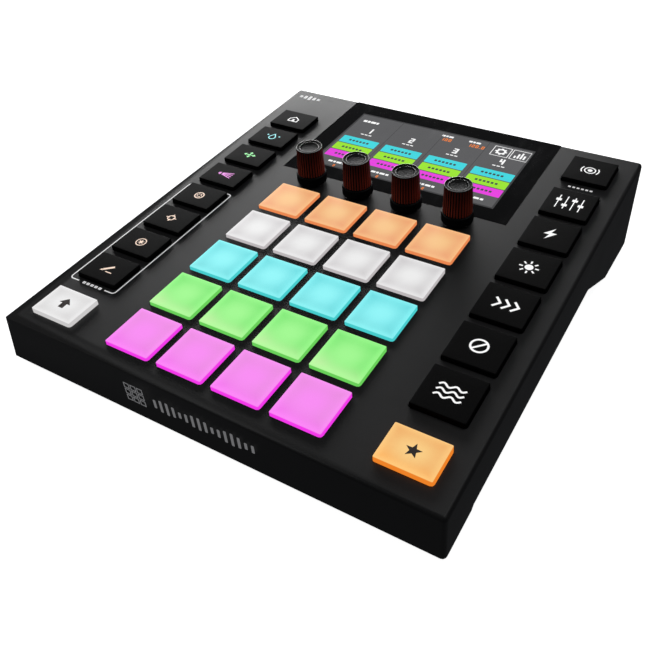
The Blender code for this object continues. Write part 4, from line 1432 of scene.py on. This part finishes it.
def build_stage(sizes, colours):
    finish = Finish("floor_paper", Emission_Strength=0.95, Specular_IOR_Level=0.1)
    where = finish.place()
    cloud = finish.noise(where, 60.0, 2.0)
    tone = rgba(colours.floor)
    finish.feed("Base Color", finish.mix(cloud, tone, tinted(tone, 0.985)))
    finish.feed("Emission Color", finish.mix(cloud, (1.0, 1.0, 1.0, 1.0), (0.98, 0.98, 0.98, 1.0)))
    finish.feed("Roughness", cloud * 0.1 + 0.85)
    mesh = bpy.data.meshes.new("floor")
    corners = [(x, y, 0.0) for x, y in circle(12.0, 48)]
    mesh.from_pydata(corners, [], [list(range(48))])
    mesh.materials.append(finish.material)
    floor = bpy.data.objects.new("floor", mesh)
    bpy.context.scene.collection.objects.link(floor)
    floor.visible_diffuse = False
    floor.visible_glossy = False

    world = bpy.data.worlds.new("studio")
    bpy.context.scene.world = world
    world.use_nodes = True
    ground = world.node_tree.nodes["Background"]
    ground.inputs["Color"].default_value = (0.93, 0.95, 1.0, 1.0)
    ground.inputs["Strength"].default_value = 0.06

    bpy.context.scene.view_settings.view_transform = "Standard"

    add_light("softbox_rear", (-0.95, 1.27, 0.50), (0.0, 0.0, 0.03), (1.5, 0.38), 19.0)
    add_light("softbox_left", (-1.10, -0.55, 0.75), (0.0, 0.0, 0.03), (0.9, 0.9), 2.0)
    add_light("softbox_top", (0.40, 0.40, 1.40), (0.0, 0.0, 0.0), (1.0, 1.0), 3.0)

    data = bpy.data.cameras.new("camera")
    data.lens = sizes.lens
    data.sensor_width = 36.0
    data.shift_x = -0.02336
    data.shift_y = -0.08157
    data.clip_start = 0.01
    data.clip_end = 50.0
    camera = bpy.data.objects.new("camera", data)
    bpy.context.scene.collection.objects.link(camera)
    camera.location = (0.153302, -0.263273, 0.217644)
    camera.rotation_euler = [math.radians(a) for a in (56.3548, 0.4511, 31.0101)]
    bpy.context.scene.camera = camera


def add_light(name, place, target, size, power):
    data = bpy.data.lights.new(name, "AREA")
    data.shape = "RECTANGLE"
    data.size, data.size_y = size
    data.energy = power
    light = bpy.data.objects.new(name, data)
    light.location = place
    aim = Vector(target) - Vector(place)
    light.rotation_euler = aim.to_track_quat("-Z", "Y").to_euler()
    bpy.context.scene.collection.objects.link(light)


# Operators, one for each group of pieces


class BuildOperator:
    bl_options = {"REGISTER", "UNDO"}
    build = None

    def execute(self, context):
        made = len(bpy.data.objects)
        type(self).build(context.scene.desk_sizes, context.scene.desk_colours)
        if len(bpy.data.objects) <= made:
            raise RuntimeError(f"{self.bl_label} made nothing")
        return {"FINISHED"}


class LIGHTDESK_OT_case(BuildOperator, bpy.types.Operator):
    """Build the case, its base, its screws and the finishes of the boards inside"""

    bl_idname = "lightdesk.case"
    bl_label = "Case"
    build = staticmethod(build_case)


class LIGHTDESK_OT_pads(BuildOperator, bpy.types.Operator):
    """Build the twenty lit pads"""

    bl_idname = "lightdesk.pads"
    bl_label = "Pads"
    build = staticmethod(build_pads)


class LIGHTDESK_OT_keys(BuildOperator, bpy.types.Operator):
    """Build the seventeen key caps"""

    bl_idname = "lightdesk.keys"
    bl_label = "Keys"
    build = staticmethod(build_keys)


class LIGHTDESK_OT_legends(BuildOperator, bpy.types.Operator):
    """Draw the sign on each key"""

    bl_idname = "lightdesk.legends"
    bl_label = "Key Signs"
    build = staticmethod(build_legends)


class LIGHTDESK_OT_knobs(BuildOperator, bpy.types.Operator):
    """Build the four ribbed knobs and finish their spindles"""

    bl_idname = "lightdesk.knobs"
    bl_label = "Knobs"
    build = staticmethod(build_knobs)


class LIGHTDESK_OT_display(BuildOperator, bpy.types.Operator):
    """Build the display glass and the picture behind it"""

    bl_idname = "lightdesk.display"
    bl_label = "Display"
    build = staticmethod(build_display)


class LIGHTDESK_OT_print(BuildOperator, bpy.types.Operator):
    """Print the marks on the panel and the front edge"""

    bl_idname = "lightdesk.print_marks"
    bl_label = "Printed Marks"
    build = staticmethod(build_print)


class LIGHTDESK_OT_rear(BuildOperator, bpy.types.Operator):
    """Build the sockets on the rear wall, with their contacts and screws"""

    bl_idname = "lightdesk.rear"
    bl_label = "Rear Sockets"
    build = staticmethod(build_rear)


class LIGHTDESK_OT_stage(BuildOperator, bpy.types.Operator):
    """Set up the floor, the lights and the camera"""

    bl_idname = "lightdesk.stage"
    bl_label = "Stage"
    build = staticmethod(build_stage)


OPERATORS = (
    LIGHTDESK_OT_case,
    LIGHTDESK_OT_pads,
    LIGHTDESK_OT_keys,
    LIGHTDESK_OT_legends,
    LIGHTDESK_OT_knobs,
    LIGHTDESK_OT_display,
    LIGHTDESK_OT_print,
    LIGHTDESK_OT_rear,
    LIGHTDESK_OT_stage,
)


class LIGHTDESK_PT_panel(bpy.types.Panel):
    """Lists the steps that build the desk"""

    bl_idname = "LIGHTDESK_PT_panel"
    bl_label = "Lighting Control Desk"
    bl_space_type = "VIEW_3D"
    bl_region_type = "UI"
    bl_category = "Light Desk"

    def draw(self, context):
        column = self.layout.column(align=True)
        for operator in OPERATORS:
            column.operator(operator.bl_idname)
        for group in (context.scene.desk_sizes, context.scene.desk_colours):
            box = self.layout.box()
            for key in group.bl_rna.properties.keys():
                if key not in ("rna_type", "name"):
                    box.prop(group, key)


CLASSES = (DeskSizes, DeskColours, *OPERATORS, LIGHTDESK_PT_panel)


def register():
    for item in CLASSES:
        bpy.utils.register_class(item)
    bpy.types.Scene.desk_sizes = PointerProperty(type=DeskSizes)
    bpy.types.Scene.desk_colours = PointerProperty(type=DeskColours)


def unregister():
    del bpy.types.Scene.desk_colours
    del bpy.types.Scene.desk_sizes
    for item in reversed(CLASSES):
        bpy.utils.unregister_class(item)


def main():
    register()
    for operator in OPERATORS:
        group, name = operator.bl_idname.split(".")
        getattr(getattr(bpy.ops, group), name)()


if __name__ == "__main__":
    main()
